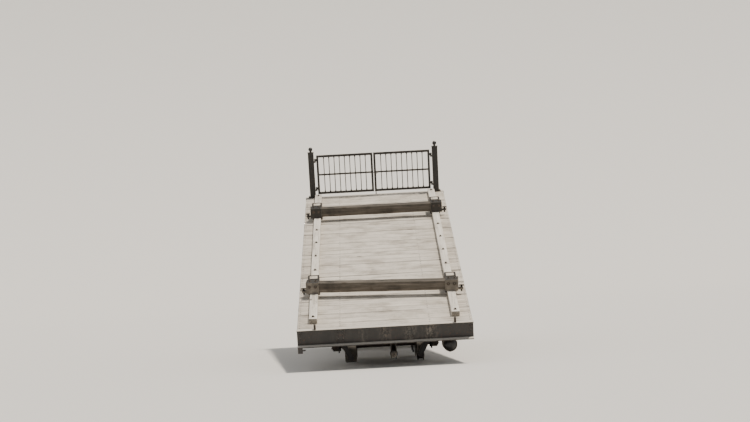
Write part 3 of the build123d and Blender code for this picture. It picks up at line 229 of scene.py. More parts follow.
def feed(tree, node, inputs):
    """Links a node's inputs, or sets them to a colour or a constant."""
    for key, value in inputs.items():
        if isinstance(value, bpy.types.NodeSocket):
            tree.links.new(value, node.inputs[key])
        else:
            node.inputs[key].default_value = linear(value) if isinstance(value, str) else value


def add_node(tree, kind, inputs=None, out=0, stops=None, **settings):
    """Adds a shader node with its settings, links and constants, and gives one output."""
    node = tree.nodes.new("ShaderNode" + kind)
    for key, value in settings.items():
        setattr(node, key, value)
    if stops:
        while len(node.color_ramp.elements) < len(stops):
            node.color_ramp.elements.new(0.5)
        for element, (position, colour) in zip(node.color_ramp.elements, stops):
            element.position = position
            element.color = linear(colour) if isinstance(colour, str) else colour
    feed(tree, node, inputs or {})
    return node if out is None else node.outputs[out]


# Modelling steps

def deselect():
    """Leaves nothing selected, in object mode."""
    if bpy.context.mode != "OBJECT":
        bpy.ops.object.mode_set(mode="OBJECT")
    bpy.ops.object.select_all(action="DESELECT")


def choose(piece):
    """Selects one object alone and makes it active."""
    deselect()
    piece.select_set(True)
    bpy.context.view_layer.objects.active = piece


@contextmanager
def editing(piece):
    """Edit mode with all of one piece selected, then object mode again."""
    choose(piece)
    bpy.ops.object.mode_set(mode="EDIT")
    bpy.ops.mesh.select_all(action="SELECT")
    yield
    bpy.ops.object.mode_set(mode="OBJECT")


def added(name):
    """The primitive just added, named, with its place, turn and size in its mesh."""
    bpy.ops.object.transform_apply(location=True, rotation=True, scale=True)
    piece = bpy.context.active_object
    piece.name = name
    return piece


def finish_with(piece, kind, **settings):
    """Adds a modifier, sets it and applies it."""
    choose(piece)
    modifier = piece.modifiers.new(kind.lower(), kind)
    for key, value in settings.items():
        setattr(modifier, key, value)
    bpy.ops.object.modifier_apply(modifier=modifier.name)
    return piece


def rounded(piece, width, segments, degrees):
    """Rounds the edges that are sharper than an angle."""
    return finish_with(piece, "BEVEL", width=width, segments=segments, limit_method="ANGLE",
                       angle_limit=math.radians(degrees))


def select_edges(piece, wanted):
    """Opens a piece in edit mode with the edges selected whose two ends pass a test."""
    choose(piece)
    bpy.ops.object.mode_set(mode="EDIT")
    bpy.ops.mesh.select_mode(type="EDGE")
    bpy.ops.mesh.select_all(action="DESELECT")
    bpy.ops.object.mode_set(mode="OBJECT")
    for edge in piece.data.edges:
        edge.select = wanted(*(piece.data.vertices[index].co for index in edge.vertices))
    bpy.ops.object.mode_set(mode="EDIT")


def low_and_high(a, b):
    """Low and high corner of the box between two of its corners."""
    return list(zip(*(sorted(pair) for pair in zip(a, b))))


def block(name, a, b, bevel=0.002):
    """A block between two corners with its edges rounded."""
    deselect()
    low, high = low_and_high(a, b)
    centre = [(one + other) / 2 for one, other in zip(low, high)]
    size = [other - one for one, other in zip(low, high)]
    bpy.ops.mesh.primitive_cube_add(size=1, location=centre, scale=size)
    piece = added(name)
    if bevel:
        with editing(piece):
            bpy.ops.mesh.bevel(offset=bevel, segments=2, affect="EDGES")
    return piece


def plank(name, a, b, chance, axis, cuts, wobble, bevel):
    """A sawn timber: a block cut across its length whose faces wander a little."""
    low, high = low_and_high(a, b)
    piece = block(name, low, high, bevel=0)
    length = high[axis] - low[axis]
    select_edges(piece, lambda one, other: abs(one[axis] - other[axis]) > 0.5 * length)
    bpy.ops.mesh.subdivide(number_cuts=cuts)
    bpy.ops.object.mode_set(mode="OBJECT")
    for vertex in piece.data.vertices:
        for index in (other for other in range(3) if other != axis):
            inward = -1 if vertex.co[index] > (low[index] + high[index]) / 2 else 1
            vertex.co[index] += inward * chance.random() * wobble
    return rounded(piece, bevel, segments=2, degrees=40)


def rod(name, radius, start, end, sides=16, bevel=0.0015):
    """A round bar between two points with its rims rounded."""
    deselect()
    a, b = Vector(start), Vector(end)
    turn = (b - a).to_track_quat("Z", "Y").to_euler()
    bpy.ops.mesh.primitive_cylinder_add(vertices=sides, radius=radius, depth=(b - a).length,
                                        location=(a + b) / 2, rotation=turn)
    return rounded(added(name), bevel, segments=1, degrees=50)


def join(name, pieces):
    """Joins pieces into one object with this name."""
    choose(pieces[0])
    for piece in pieces:
        piece.select_set(True)
    bpy.ops.object.join()
    piece = bpy.context.active_object
    piece.name = name
    piece.data.name = name
    return piece


def settle(piece, body, finish, replaces=()):
    """Smooths a finished piece, and gives it its finish and body."""
    choose(piece)
    bpy.ops.object.shade_smooth_by_angle(angle=SMOOTH_ANGLE)
    piece.data.materials.clear()
    piece.data.materials.append(MATERIALS[finish])
    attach(piece, body)
    if replaces:
        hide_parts(*replaces)


def assemble(name, parts, matrix, body, finish, replaces=()):
    """Joins parts made in one of the car's frames into a finished piece. Its object stays at
    the origin."""
    piece = join(name, parts)
    piece.data.transform(matrix)
    settle(piece, body, finish, replaces)


def fasten(name, model, places, body, finish):
    """Sets a copy of a model under each matrix, as one finished piece. The model goes away."""
    made = []
    for place in places:
        twin = bpy.data.objects.new(name, model.data.copy())
        twin.data.transform(place)
        bpy.context.collection.objects.link(twin)
        made.append(twin)
    bpy.data.objects.remove(model)
    settle(join(name, made), body, finish)


def rivet_model(radius, height=0.62):
    """Closed snap head of a rivet, base on Z 0."""
    deselect()
    bpy.ops.mesh.primitive_uv_sphere_add(segments=10, ring_count=8, radius=radius)
    head = bpy.context.active_object
    with editing(head):
        bpy.ops.mesh.bisect(plane_co=(0, 0, 0), plane_no=(0, 0, 1), clear_inner=True, use_fill=True)
        bpy.ops.mesh.select_all(action="SELECT")
        bpy.ops.transform.resize(value=(1, 1, height), center_override=(0, 0, 0))
    return head


def bolt_model(size, washer=1.7):
    """Hexagon nut on a washer with its thread end showing, base on Z 0. Size is over corners."""
    plate = rod("washer", size * washer / 2, (0, 0, 0), (0, 0, size * 0.12), sides=14)
    head = rod("head", size / 2, (0, 0, size * 0.11), (0, 0, size * 0.57), sides=6, bevel=size * 0.05)
    shank = rod("shank", size * 0.27, (0, 0, size * 0.5), (0, 0, size * 0.8), sides=10)
    return join("bolt", [plate, head, shank])


def facing(place, normal):
    """Matrix that stands a model's Z along a normal at a place."""
    turn = Vector(normal).to_track_quat("Z", "Y").to_matrix().to_4x4()
    return Matrix.Translation(place) @ turn


def both_sides(matrix, spots, normal=None):
    """Matrices of models at spots given as (X, Y, Z) in one of the car's frames, and at their
    mirror images across its centre line. Without a normal they face outwards."""
    return [matrix @ facing((side * x, y, z), normal or (side, 0, 0))
            for x, y, z in spots for side in SIDES]


def upright(spots):
    """Matrices of models that stand on the deck, at spots and at their mirror images."""
    return [DECK @ Matrix.Translation((side * x, y, z)) for x, y, z in spots for side in SIDES]


def chock_frame(station, skew):
    """Frame of a chock beam: its middle on the deck's centre line, turned by its skew."""
    return DECK @ Matrix.Translation((0, station, 0)) @ Matrix.Rotation(skew, 4, "Z")


def chord_underside(y):
    """Height above the rail of a top chord's underside, this far along the track."""
    return DECK_EDGE_HEIGHT + TOP_CHORD_LOW / math.cos(SLOPE) + y * math.tan(SLOPE)


# Material steps

def new_material(name):
    """Empty node material, what adds nodes to it and the piece's own coordinates."""
    material = bpy.data.materials.new(name)
    material.use_nodes = True
    add = partial(add_node, material.node_tree)
    return material, add, add("TexCoord", out="Object")


def worn_edges(add, radius_mm):
    """One along outside edges, zero on open faces."""
    rounded_normal = add("Bevel", {"Radius": radius_mm / 1000}, samples=4)
    true = add("NewGeometry", out="True Normal")
    agree = add("VectorMath", {0: rounded_normal, 1: true}, out="Value", operation="DOT_PRODUCT")
    return add("MapRange", {"Value": agree, "From Min": 0.995, "From Max": 0.85})


def looks_up(add, low, high):
    """One on faces that look up, falling to zero as they turn away."""
    normal = add("NewGeometry", out="Normal")
    height = add("SeparateXYZ", {"Vector": normal}, out="Z")
    return add("MapRange", {"Value": height, "From Min": low, "From Max": high})


def surface(material, colour, coats, roughness, height, strength, depth_mm, metallic=0.0):
    """Lays coats over a first colour, each where its mask says, and feeds the shader with the
    colour, the roughness, the bump and the metal."""
    tree = material.node_tree
    for mask, coat in coats:
        colour = add_node(tree, "Mix", {0: mask, 6: colour, 7: coat}, out=2, data_type="RGBA")
    bump = add_node(tree, "Bump", {"Height": height, "Strength": strength, "Distance": depth_mm / 1000})
    feed(tree, tree.nodes["Principled BSDF"],
         {"Base Color": colour, "Roughness": roughness, "Metallic": metallic, "Normal": bump})
    return material


def timber(name, matrix, across, pitch, first, tones, soil, wear, joints=0.0):
    """Sawn softwood or oiled hardwood, left outdoors for years. The eye sees silver-grey late
    wood, dark seams between the rings, drying checks along the grain and a tone to each timber."""
    material, add, place = new_material(name)
    back = matrix.inverted()
    flat = add("Mapping", {"Vector": place, "Location": back.translation,
                           "Rotation": back.to_euler("XYZ")})
    parts = add("SeparateXYZ", {"Vector": flat}, out=None)
    count = add("Math", {0: parts.outputs["Y" if across else "X"], 1: first}, operation="SUBTRACT")
    count = add("Math", {0: count, 1: pitch}, operation="DIVIDE")
    index = add("Math", {0: count}, operation="FLOOR")
    chance = add("TexWhiteNoise", {"W": index}, out=None, noise_dimensions="1D")
    shifted = add("VectorMath", {0: chance.outputs["Color"], 1: (7.0, 3.0, 5.0), 2: flat},
                  operation="MULTIPLY_ADD")
    # Rings run far along the grain, and knots are ovals that lie along it
    grain, ovals = (add("Mapping", {"Vector": shifted, "Scale": (pull, 1, 1) if across else (1, pull, 1)})
                    for pull in (0.055, 0.45))
    rings = add("TexNoise", {"Vector": grain, "Scale": per_mm(11), "Detail": 5.0, "Roughness": 0.62,
                             "Distortion": 0.6})
    streaks = add("TexNoise", {"Vector": grain, "Scale": per_mm(52), "Detail": 4.0, "Roughness": 0.6,
                               "Distortion": 0.3})
    checks = add("TexNoise", {"Vector": grain, "Scale": per_mm(17), "Detail": 3.0})
    blotches = add("TexNoise", {"Vector": shifted, "Scale": per_mm(430), "Detail": 6.0, "Roughness": 0.62})
    knots = add("TexVoronoi", {"Vector": ovals, "Scale": per_mm(310)}, out="Distance")
    base = add("ValToRGB", {"Fac": streaks}, stops=[(0.28, tones[0]), (0.50, tones[1]), (0.74, tones[2])])
    seam = add("MapRange", {"Value": rings, "From Min": 0.60, "From Max": 0.38, "To Max": 0.42})
    own_tone = add("MapRange", {"Value": chance.outputs["Value"], "To Max": 0.42})
    middle = add("Math", {0: parts.outputs["X"]}, operation="ABSOLUTE")
    track = add("MapRange", {"Value": middle, "From Min": 1.05, "From Max": 0.70, "To Min": 0.75})
    rubbed = add("MapRange", {"Value": blotches, "From Min": 0.66, "From Max": 0.36,
                              "To Min": 0.25 * wear[1], "To Max": wear[1]})
    rubbed = add("Math", {0: rubbed, 1: track}, operation="MULTIPLY")
    soiling = add("MapRange", {"Value": blotches, "From Min": 0.50, "From Max": 0.72, "To Max": soil[1]})
    knot = add("MapRange", {"Value": knots, "From Min": 0.085, "From Max": 0.05, "To Max": 0.8})
    off = add("Math", {0: checks, 1: 0.5}, operation="SUBTRACT")
    off = add("Math", {0: off}, operation="ABSOLUTE")
    crack = add("MapRange", {"Value": off, "From Min": 0.011, "From Max": 0.002})
    dry = add("MapRange", {"Value": streaks, "From Min": 0.50, "From Max": 0.42, "To Max": 0.85})
    crack = add("Math", {0: crack, 1: dry}, operation="MULTIPLY")
    edges = add("Math", {0: worn_edges(add, 8), 1: 0.35}, operation="MULTIPLY")
    # Faces across the grain are painted darker: partly end grain that soaks up water, partly painted shade
    # on the end faces
    normal = add("NewGeometry", out="True Normal")
    grain_way = matrix.col[0 if across else 1].xyz
    end = add("VectorMath", {0: normal, 1: grain_way}, out="Value", operation="DOT_PRODUCT")
    end = add("Math", {0: end}, operation="ABSOLUTE")
    end = add("MapRange", {"Value": end, "From Min": 0.75, "From Max": 0.92, "To Max": 0.72})
    coats = [(seam, tones[0]), (own_tone, tones[3]), (rubbed, wear[0]), (soiling, soil[0]),
             (knot, "#3d3025"), (crack, "#1d1a17"), (edges, tones[2]), (end, "#51493f")]
    if joints:
        # A dark band lies along the wide joint after each panel, thickest outside the kerbs
        share = add("Math", {0: count, 1: float(BOARDS_PER_PANEL)}, operation="DIVIDE")
        share = add("Math", {0: share, 1: 0.5}, operation="PINGPONG")
        dark_joint_band = add("MapRange", {"Value": share, "From Min": 0.060, "From Max": 0.015, "To Max": joints})
        side = add("MapRange", {"Value": middle, "From Min": 1.0, "From Max": 1.2, "To Min": 0.30})
        dark_joint_band = add("Math", {0: dark_joint_band, 1: side}, operation="MULTIPLY")
        patch = add("MapRange", {"Value": blotches, "From Min": 0.35, "From Max": 0.55, "To Min": 0.3})
        dark_joint_band = add("Math", {0: dark_joint_band, 1: patch}, operation="MULTIPLY")
        coats.append((dark_joint_band, "#2c2720"))
    rough = add("MapRange", {"Value": rings, "From Min": 0.3, "From Max": 0.7,
                             "To Min": 0.94, "To Max": 0.76})
    relief = add("Math", {0: rings, 1: streaks}, operation="ADD")
    relief = add("Math", {0: crack, 1: -1.6, 2: relief}, operation="MULTIPLY_ADD")
    return surface(material, base, coats, rough, relief, 0.55, 2.2)


def black_paint(name, base_hex, rust=0.35, dust=0.5, dust_hex="#8a8072", worn=0.5, gloss=0.42,
                seams=(), even=0.5, mid_hex="#282523", stained=0.4):
    """Old black bitumen paint brushed on rolled steel. The eye sees a satin skin freckled with
    brown rust, dust on what looks up and edges rubbed to rusty steel."""
    material, add, place = new_material(name)
    patches = add("TexNoise", {"Vector": place, "Scale": per_mm(340), "Detail": 6.0, "Roughness": 0.62})
    freckles = add("TexNoise", {"Vector": place, "Scale": per_mm(26), "Detail": 5.0, "Roughness": 0.6})
    tall = add("Mapping", {"Vector": place, "Scale": (1.0, 1.0, 0.16)})
    runs = add("TexNoise", {"Vector": tall, "Scale": per_mm(44), "Detail": 4.0, "Roughness": 0.6})
    base = add("ValToRGB", {"Fac": patches}, stops=[(0.3, base_hex), (0.55, mid_hex), (0.75, base_hex)])
    stain = add("MapRange", {"Value": runs, "From Min": 0.48, "From Max": 0.72, "To Max": stained})
    coats = [(stain, "#39342e")]
    for centre, width, strength in seams:
        # Rust and dried wash below a riveted connection, as a band that fades to both sides
        across = add("SeparateXYZ", {"Vector": place}, out="X")
        away = add("Math", {0: across, 1: centre}, operation="SUBTRACT")
        away = add("Math", {0: away}, operation="ABSOLUTE")
        band = add("MapRange", {"Value": away, "From Min": width, "From Max": 0.0, "To Max": strength})
        torn = add("Math", {0: runs, 1: freckles}, operation="ADD")
        torn = add("MapRange", {"Value": torn, "From Min": 0.90, "From Max": 1.18})
        band = add("Math", {0: band, 1: torn}, operation="MULTIPLY")
        coats.append((band, "#857d72"))
    spots = add("MapRange", {"Value": freckles, "From Min": 0.54, "From Max": 0.66})
    where = add("MapRange", {"Value": patches, "From Min": 0.42, "From Max": 0.66, "To Max": 2.0 * rust})
    rusty = add("Math", {0: spots, 1: where}, operation="MULTIPLY", use_clamp=True)
    torn = add("MapRange", {"Value": freckles, "From Min": 0.42, "From Max": 0.6,
                            "To Min": 0.15 * worn, "To Max": worn})
    broken = add("Math", {0: worn_edges(add, 7), 1: torn}, operation="MULTIPLY")
    rust_colour = add("ValToRGB", {"Fac": freckles},
                      stops=[(0.35, "#3b2417"), (0.55, "#5e3a22"), (0.75, "#7d5434")])
    thick = add("MapRange", {"Value": patches, "From Min": 0.3, "From Max": 0.7,
                             "To Min": even * dust, "To Max": dust})
    settled = add("Math", {0: looks_up(add, 0.35, 0.95), 1: thick}, operation="MULTIPLY")
    coats += [(rusty, rust_colour), (broken, "#6a5c4e"), (settled, dust_hex)]
    dull = add("Math", {0: rusty, 1: settled}, operation="ADD")
    rough = add("MapRange", {"Value": dull, "To Min": gloss, "To Max": 0.88})
    relief = add("Math", {0: rusty, 1: 0.6, 2: freckles}, operation="MULTIPLY_ADD")
    return surface(material, base, coats, rough, relief, 0.35, 1.2)


def worn_iron(name, base_hex, bright_hex, polish=0.6, roughness=0.5, mottle=("#33291f", "#4a3526"),
              crown=1.0, soot=0.0, tar=0.0):
    """Forged or cast iron fittings, once blacked. The eye sees a brown-black skin whose handled
    tops and corners are rubbed to dull grey metal, or tops that oil and soot have blackened."""
    material, add, place = new_material(name)
    patches = add("TexNoise", {"Vector": place, "Scale": per_mm(120), "Detail": 5.0, "Roughness": 0.6})
    pits = add("TexNoise", {"Vector": place, "Scale": per_mm(9), "Detail": 4.0, "Roughness": 0.6})
    base = add("ValToRGB", {"Fac": patches}, stops=[(0.3, base_hex), (0.55, mottle[0]), (0.75, mottle[1])])
    up = looks_up(add, 0.8, 0.97)
    black = add("Math", {0: up, 1: soot}, operation="MULTIPLY")
    coats = [(black, "#120f0d")]
    if tar:
        # The fittings of the downhill half were tarred again and are darker
        along = add("SeparateXYZ", {"Vector": place}, out="Y")
        tarred = add("MapRange", {"Value": along, "From Min": 0.0, "From Max": 1.0, "To Max": tar})
        coats.append((tarred, "#191613"))
    tops = add("MapRange", {"Value": patches, "From Min": 0.7, "From Max": 0.4,
                            "To Min": 0.4 * crown, "To Max": crown})
    tops = add("Math", {0: tops, 1: up}, operation="MULTIPLY")
    rubbed = add("Math", {0: tops, 1: worn_edges(add, 8)}, operation="MAXIMUM")
    rubbed = add("Math", {0: rubbed, 1: polish}, operation="MULTIPLY")
    coats.append((rubbed, bright_hex))
    metal = add("Math", {0: rubbed, 1: 0.7}, operation="MULTIPLY")
    rough = add("MapRange", {"Value": rubbed, "To Min": roughness + 0.25, "To Max": roughness})
    relief = add("Math", {0: pits, 1: patches}, operation="ADD")
    return surface(material, base, coats, rough, relief, 0.4, 1.0, metal)


def wheel_steel(name, axle):
    """Rolled steel tyres on pressed discs. The eye sees treads burnished by the rail, discs
    brown with brake dust and dark oil thrown outwards from the hub."""
    material, add, place = new_material(name)
    centred = add("Mapping", {"Vector": place, "Location": -axle, "Scale": (0.0, 1.0, 1.0)})
    radius = add("VectorMath", {0: centred}, out="Value", operation="LENGTH")
    dirt = add("TexNoise", {"Vector": place, "Scale": per_mm(72), "Detail": 6.0, "Roughness": 0.62})
    fine = add("TexNoise", {"Vector": place, "Scale": per_mm(9), "Detail": 4.0})
    base = add("ValToRGB", {"Fac": dirt}, stops=[(0.3, "#241d18"), (0.55, "#3d3026"), (0.78, "#57432f")])
    oil = add("MapRange", {"Value": radius, "From Min": 0.21, "From Max": 0.12, "To Max": 0.8})
    smear = add("MapRange", {"Value": dirt, "From Min": 0.35, "From Max": 0.6})
    oil = add("Math", {0: oil, 1: smear}, operation="MULTIPLY")
    tread = add("MapRange", {"Value": radius, "From Min": 0.294, "From Max": 0.298})
    rough = add("MapRange", {"Value": tread, "To Min": 0.78, "To Max": 0.33})
    metal = add("Math", {0: tread, 1: 0.9}, operation="MULTIPLY")
    relief = add("Math", {0: dirt, 1: fine}, operation="ADD")
    coats = [(oil, "#15120f"), (tread, "#7c7770")]
    return surface(material, base, coats, rough, relief, 0.3, 0.8, metal)


def greased_steel(name, tones=("#2a241f", "#4b443c", "#77716a"), crown_hex="#a09a92"):
    """Turned steel kept greased. The eye sees grey metal under a brown film, cleaner on the
    crowns, or nearly black where old grease has caked."""
    material, add, place = new_material(name)
    film = add("TexNoise", {"Vector": place, "Scale": per_mm(46), "Detail": 5.0, "Roughness": 0.6})
    fine = add("TexNoise", {"Vector": place, "Scale": per_mm(5), "Detail": 3.0})
    base = add("ValToRGB", {"Fac": film}, stops=[(0.32, tones[0]), (0.52, tones[1]), (0.72, tones[2])])
    crown = add("Math", {0: worn_edges(add, 4), 1: 0.7}, operation="MULTIPLY")
    rough = add("MapRange", {"Value": film, "From Min": 0.3, "From Max": 0.7,
                             "To Min": 0.38, "To Max": 0.62})
    return surface(material, base, [(crown, crown_hex)], rough, fine, 0.2, 0.4, 0.75)


# Which finish each node of the frame has
NODE_FINISHES = {
    "headstock": ("headstock_uphill", "headstock_downhill"),
    "frame": ("side_sills", "top_chords", "centre_stringer", "cross_bearers", "outriggers",
              "bottom_chords", "truss_posts", "truss_diagonals", "gusset_plates", "bottom_ties",
              "sway_braces", "body_bolsters", "brake_hangers"),
    "gate": ("gate_posts", "gate_left", "gate_right"),
    "gear": ("bogie_1_side_frames", "bogie_2_side_frames", "bogie_1_cross_beam", "bogie_2_cross_beam",
             "brake_levers", "rope_anchor"),
    "boxes": ("bogie_1_axleboxes", "bogie_2_axleboxes"),
    "springs": ("bogie_1_springs", "bogie_2_springs"),
    "fittings": ("ramp_lugs", "tank_straps"),
    "shoes": ("chock_shoes",),
    "caps": ("chock_end_irons",),
    "screws": ("chock_screws",),
    "bare": ("brake_spindles", "rope_socket"),
    "tank": ("air_tank",),
    "boards": ("deck_boards",),
    "kerbs": ("kerb_timbers",),
    "chock_1": ("chock_beams",),
}


class CarSizes(bpy.types.PropertyGroup):
    """Sizes that a user may change."""

    rivet_radius: FloatProperty(name="Rivet radius", description="Radius of a snap head",
                                default=0.015, unit="LENGTH")
    bolt_size: FloatProperty(name="Bolt size", description="Width of a nut over its corners",
                             default=0.036, unit="LENGTH")
    board_edge: FloatProperty(name="Board edge", description="Worn rounding of a board's edges",
                              default=0.005, unit="LENGTH")
    seed: IntProperty(name="Seed", description="Seed of the small unevenness of the timbers", default=11)


class CarColours(bpy.types.PropertyGroup):
    """Colours that a user may change."""

    board_light: FloatVectorProperty(name="Board, light", description="Sun-bleached late wood",
                                     subtype="COLOR", size=4, default=linear("#ddd4c5"))
    board_dark: FloatVectorProperty(name="Board, dark", description="Seams and soiled grain",
                                    subtype="COLOR", size=4, default=linear("#8b8173"))
    floor: FloatVectorProperty(name="Floor", description="Studio floor and backdrop",
                               subtype="COLOR", size=4, default=linear("#dad7d1"))


class CAR_OT_stage(bpy.types.Operator):
    """Makes the floor that sweeps up into its backdrop, the lights and the camera."""

    bl_idname = "car.stage"
    bl_label = "Stage, lights and camera"

    def execute(self, context):
        self.floor(context)
        self.lights(context)
        self.camera(context)
        return {"FINISHED"}

    def floor(self, context):
        deselect()
        bpy.ops.mesh.primitive_plane_add(size=1, location=(0, (FLOOR_FRONT + FLOOR_BACK) / 2, 0))
        context.active_object.scale = (2 * FLOOR_HALF, FLOOR_BACK - FLOOR_FRONT, 1)
        floor = added("studio_floor")
        select_edges(floor, lambda a, b: min(a.y, b.y) > FLOOR_BACK - 1)
        bpy.ops.mesh.spin(steps=SWEEP_STEPS, angle=-math.pi / 2, center=(0, FLOOR_BACK, SWEEP_RADIUS),
                          axis=(1, 0, 0))
        bpy.ops.mesh.extrude_region_move(TRANSFORM_OT_translate={"value": (0, 0, BACKDROP_RISE)})
        bpy.ops.object.mode_set(mode="OBJECT")
        bpy.ops.object.shade_smooth()
        material = bpy.data.materials.new("pale_studio_floor")
        material.use_nodes = True
        tree = material.node_tree
        feed(tree, tree.nodes["Principled BSDF"],
             {"Base Color": context.scene.car_colours.floor, "Roughness": 0.95})
        floor.data.materials.append(material)

    def lights(self, context):
        world = bpy.data.worlds.new("soft_studio")
        context.scene.world = world
        world.use_nodes = True
        feed(world.node_tree, world.node_tree.nodes["Background"],
             {"Color": "#dfe3e8", "Strength": SKY_STRENGTH})
        sun = bpy.data.lights.new("sun", "SUN")
        sun.energy = SUN_POWER
        sun.angle = SUN_ANGLE
        sun.color = linear("#fff6ea")[:3]
        holder = bpy.data.objects.new("sun", sun)
        holder.rotation_euler = Vector(SUN_WAY).to_track_quat("Z", "Y").to_euler()
        context.collection.objects.link(holder)

    def camera(self, context):
        data = bpy.data.cameras.new("photo_camera")
        data.lens = PHOTO_FOCAL / PHOTO_WIDTH * SENSOR_WIDTH
        data.sensor_width = SENSOR_WIDTH
        data.clip_end = CAMERA_REACH
        holder = bpy.data.objects.new("photo_camera", data)
        context.collection.objects.link(holder)
        turn = Matrix(CAMERA_AXES).transposed().to_4x4()
        holder.matrix_world = Matrix.Translation(CAMERA_PLACE) @ turn
        context.scene.camera = holder


class CAR_OT_finishes(bpy.types.Operator):
    """Makes the finishes and gives every node of the frame its own."""

    bl_idname = "car.finishes"
    bl_label = "Finishes of the frame"

    def execute(self, context):
        colours = context.scene.car_colours
        light, dark = tuple(colours.board_light), tuple(colours.board_dark)
        MATERIALS.update({
            "boards": timber("weathered_softwood_boards", DECK, True, BOARD_PITCH, HEADSTOCK_WIDTH,
                             (dark, "#bab0a0", light, "#a0968a"), ("#7a7064", 0.42), ("#e4dccf", 0.62),
                             joints=0.62),
            "kerbs": timber("weathered_kerb_timber", DECK, False, 1.0, 0.5,
                            ("#b4ab9d", "#dbd4c7", "#f2ece1", "#d2cabd"), ("#8d8376", 0.24),
                            ("#e0d8ca", 0.0)),
            "pads": timber("dusty_softwood_pads", DECK, False, 9.0, -0.5,
                           ("#a89e8f", "#c8bfb0", "#ded6c8", "#b9b0a2"), ("#8b8174", 0.2),
                           ("#e0d8ca", 0.0)),
            "headstock": black_paint("black_paint_on_end_channels", "#191817", rust=0.22, dust=0.95,
                                     dust_hex="#cfc7ba", even=0.9,
                                     seams=((0.745, 0.16, 0.6), (0.41, 0.15, 0.5), (0.0, 0.14, 0.35),
                                            (-0.36, 0.09, 0.3))),
            "frame": black_paint("black_paint_on_rolled_steel", "#181716", rust=0.4, mid_hex="#24211f",
                                 stained=0.36),
            "gate": black_paint("black_paint_on_gate_iron", "#0f0f0f", rust=0.18, dust=0.25, worn=0.4,
                                gloss=0.36, mid_hex="#181716", stained=0.25),
            # The running gear's black paint is made darker than the frame's: partly grease, partly painted
            # shade standing for the shadow under the car.
            "gear": black_paint("greasy_black_paint_with_painted_shade", "#0f0d0c", rust=0.22, dust=0.3,
                                dust_hex="#6f6250", worn=0.3, gloss=0.5, mid_hex="#1b1816", stained=0.25),
            "tank": black_paint("black_paint_on_pressed_tank", "#131313", rust=0.12, dust=0.25, gloss=0.34),
            "fittings": worn_iron("forged_iron_fittings", "#241e19", "#a8a196"),
            "bolts": worn_iron("rusty_coach_bolts", "#26201a", "#7d766b", polish=0.45, crown=0.45),
            "shoes": worn_iron("rubbed_iron_shoes", "#302a25", "#8d867b", polish=0.45,
                               mottle=("#453d35", "#5c5247"), crown=0.08, soot=0.92),
            "caps": worn_iron("scraped_iron_caps", "#4b463f", "#a39c91", polish=0.6,
                              mottle=("#6a6359", "#857d72"), crown=0.0, soot=0.92, tar=0.85),
            "boxes": worn_iron("oily_cast_iron", "#211b16", "#5d554b", polish=0.35, roughness=0.45),
            "springs": worn_iron("rusty_spring_steel", "#3a2619", "#6b5340", polish=0.4, roughness=0.6),
            "screws": greased_steel("caked_grease_on_screws", ("#0f0d0c", "#1d1a18", "#35302b"), "#5a544d"),
            "bare": greased_steel("greased_turned_steel"),
        })
        beam_tones = (("#241f1a", "#4a433a", "#8b8174", "#3f3830"),
                      ("#211d18", "#423c34", "#766d61", "#38322b"))
        for number, (chock, tones) in enumerate(zip(CHOCKS, beam_tones), start=1):
            MATERIALS[f"chock_{number}"] = timber(
                f"oiled_hardwood_beam_{number}", chock_frame(*chock), True, 0.9, -0.45, tones,
                ("#1f1b16", 0.78), ("#82796c", 0.28))
        for number in range(1, 5):
            low, high = (Vector(corner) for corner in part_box(f"wheelset_{number}"))
            self.dress(f"wheelset_{number}", wheel_steel(f"wheel_steel_{number}", (low + high) / 2))
        for finish, nodes in NODE_FINISHES.items():
            for node in nodes:
                self.dress(node, MATERIALS[finish])
        return {"FINISHED"}

    def dress(self, node, material):
        NODES[node].data.materials.clear()
        NODES[node].data.materials.append(material)


class CAR_OT_deck_boards(bpy.types.Operator):
    """Lays the worn cross boards, each a little uneven."""

    bl_idname = "car.deck_boards"
    bl_label = "Deck boards"

    def gap(self, joint):
        """Gap at a joint: a hair at the end channels, and wide between two panels."""
        if joint in (0, BOARD_COUNT):
            return END_GAP
        return BOARD_GAP if joint % BOARDS_PER_PANEL else PANEL_GAP

    def execute(self, context):
        sizes = context.scene.car_sizes
        chance = random.Random(sizes.seed)
        half = DECK_HALF - BOARD_INSET
        boards = []
        for index in range(BOARD_COUNT):
            low, high = (HEADSTOCK_WIDTH + joint * BOARD_PITCH + way * self.gap(joint) / 2
                         for joint, way in ((index, 1), (index + 1, -1)))
            left, right = (half - chance.random() * BOARD_SHORT for _ in SIDES)
            top = -chance.random() * BOARD_DIP
            boards.append(plank("board", (-left, low, -BOARD_THICKNESS), (right, high, top), chance,
                                axis=0, cuts=9, wobble=0.0022, bevel=sizes.board_edge))
        assemble("deck_boards_worn", boards, DECK, "car", "boards", ["deck_boards"])
        return {"FINISHED"}


class CAR_OT_kerbs(bpy.types.Operator):
    """Lays the kerbs, each in three lengths with worn edges."""

    bl_idname = "car.kerbs"
    bl_label = "Kerb timbers"

    def execute(self, context):
        chance = random.Random(context.scene.car_sizes.seed + 1)
        length = (KERB_END - KERB_START + KERB_JOINT) / KERB_LENGTHS
        pieces = []
        for side in SIDES:
            for index in range(KERB_LENGTHS):
                low = KERB_START + index * length
                near = (side * KERB_INNER, low, 0.0)
                far = (side * KERB_OUTER, low + length - KERB_JOINT, KERB_HEIGHT)
                pieces.append(plank("kerb", near, far, chance, axis=1, cuts=9, wobble=0.0025, bevel=0.009))
        assemble("kerb_timbers_worn", pieces, DECK, "car", "kerbs", ["kerb_timbers"])
        return {"FINISHED"}


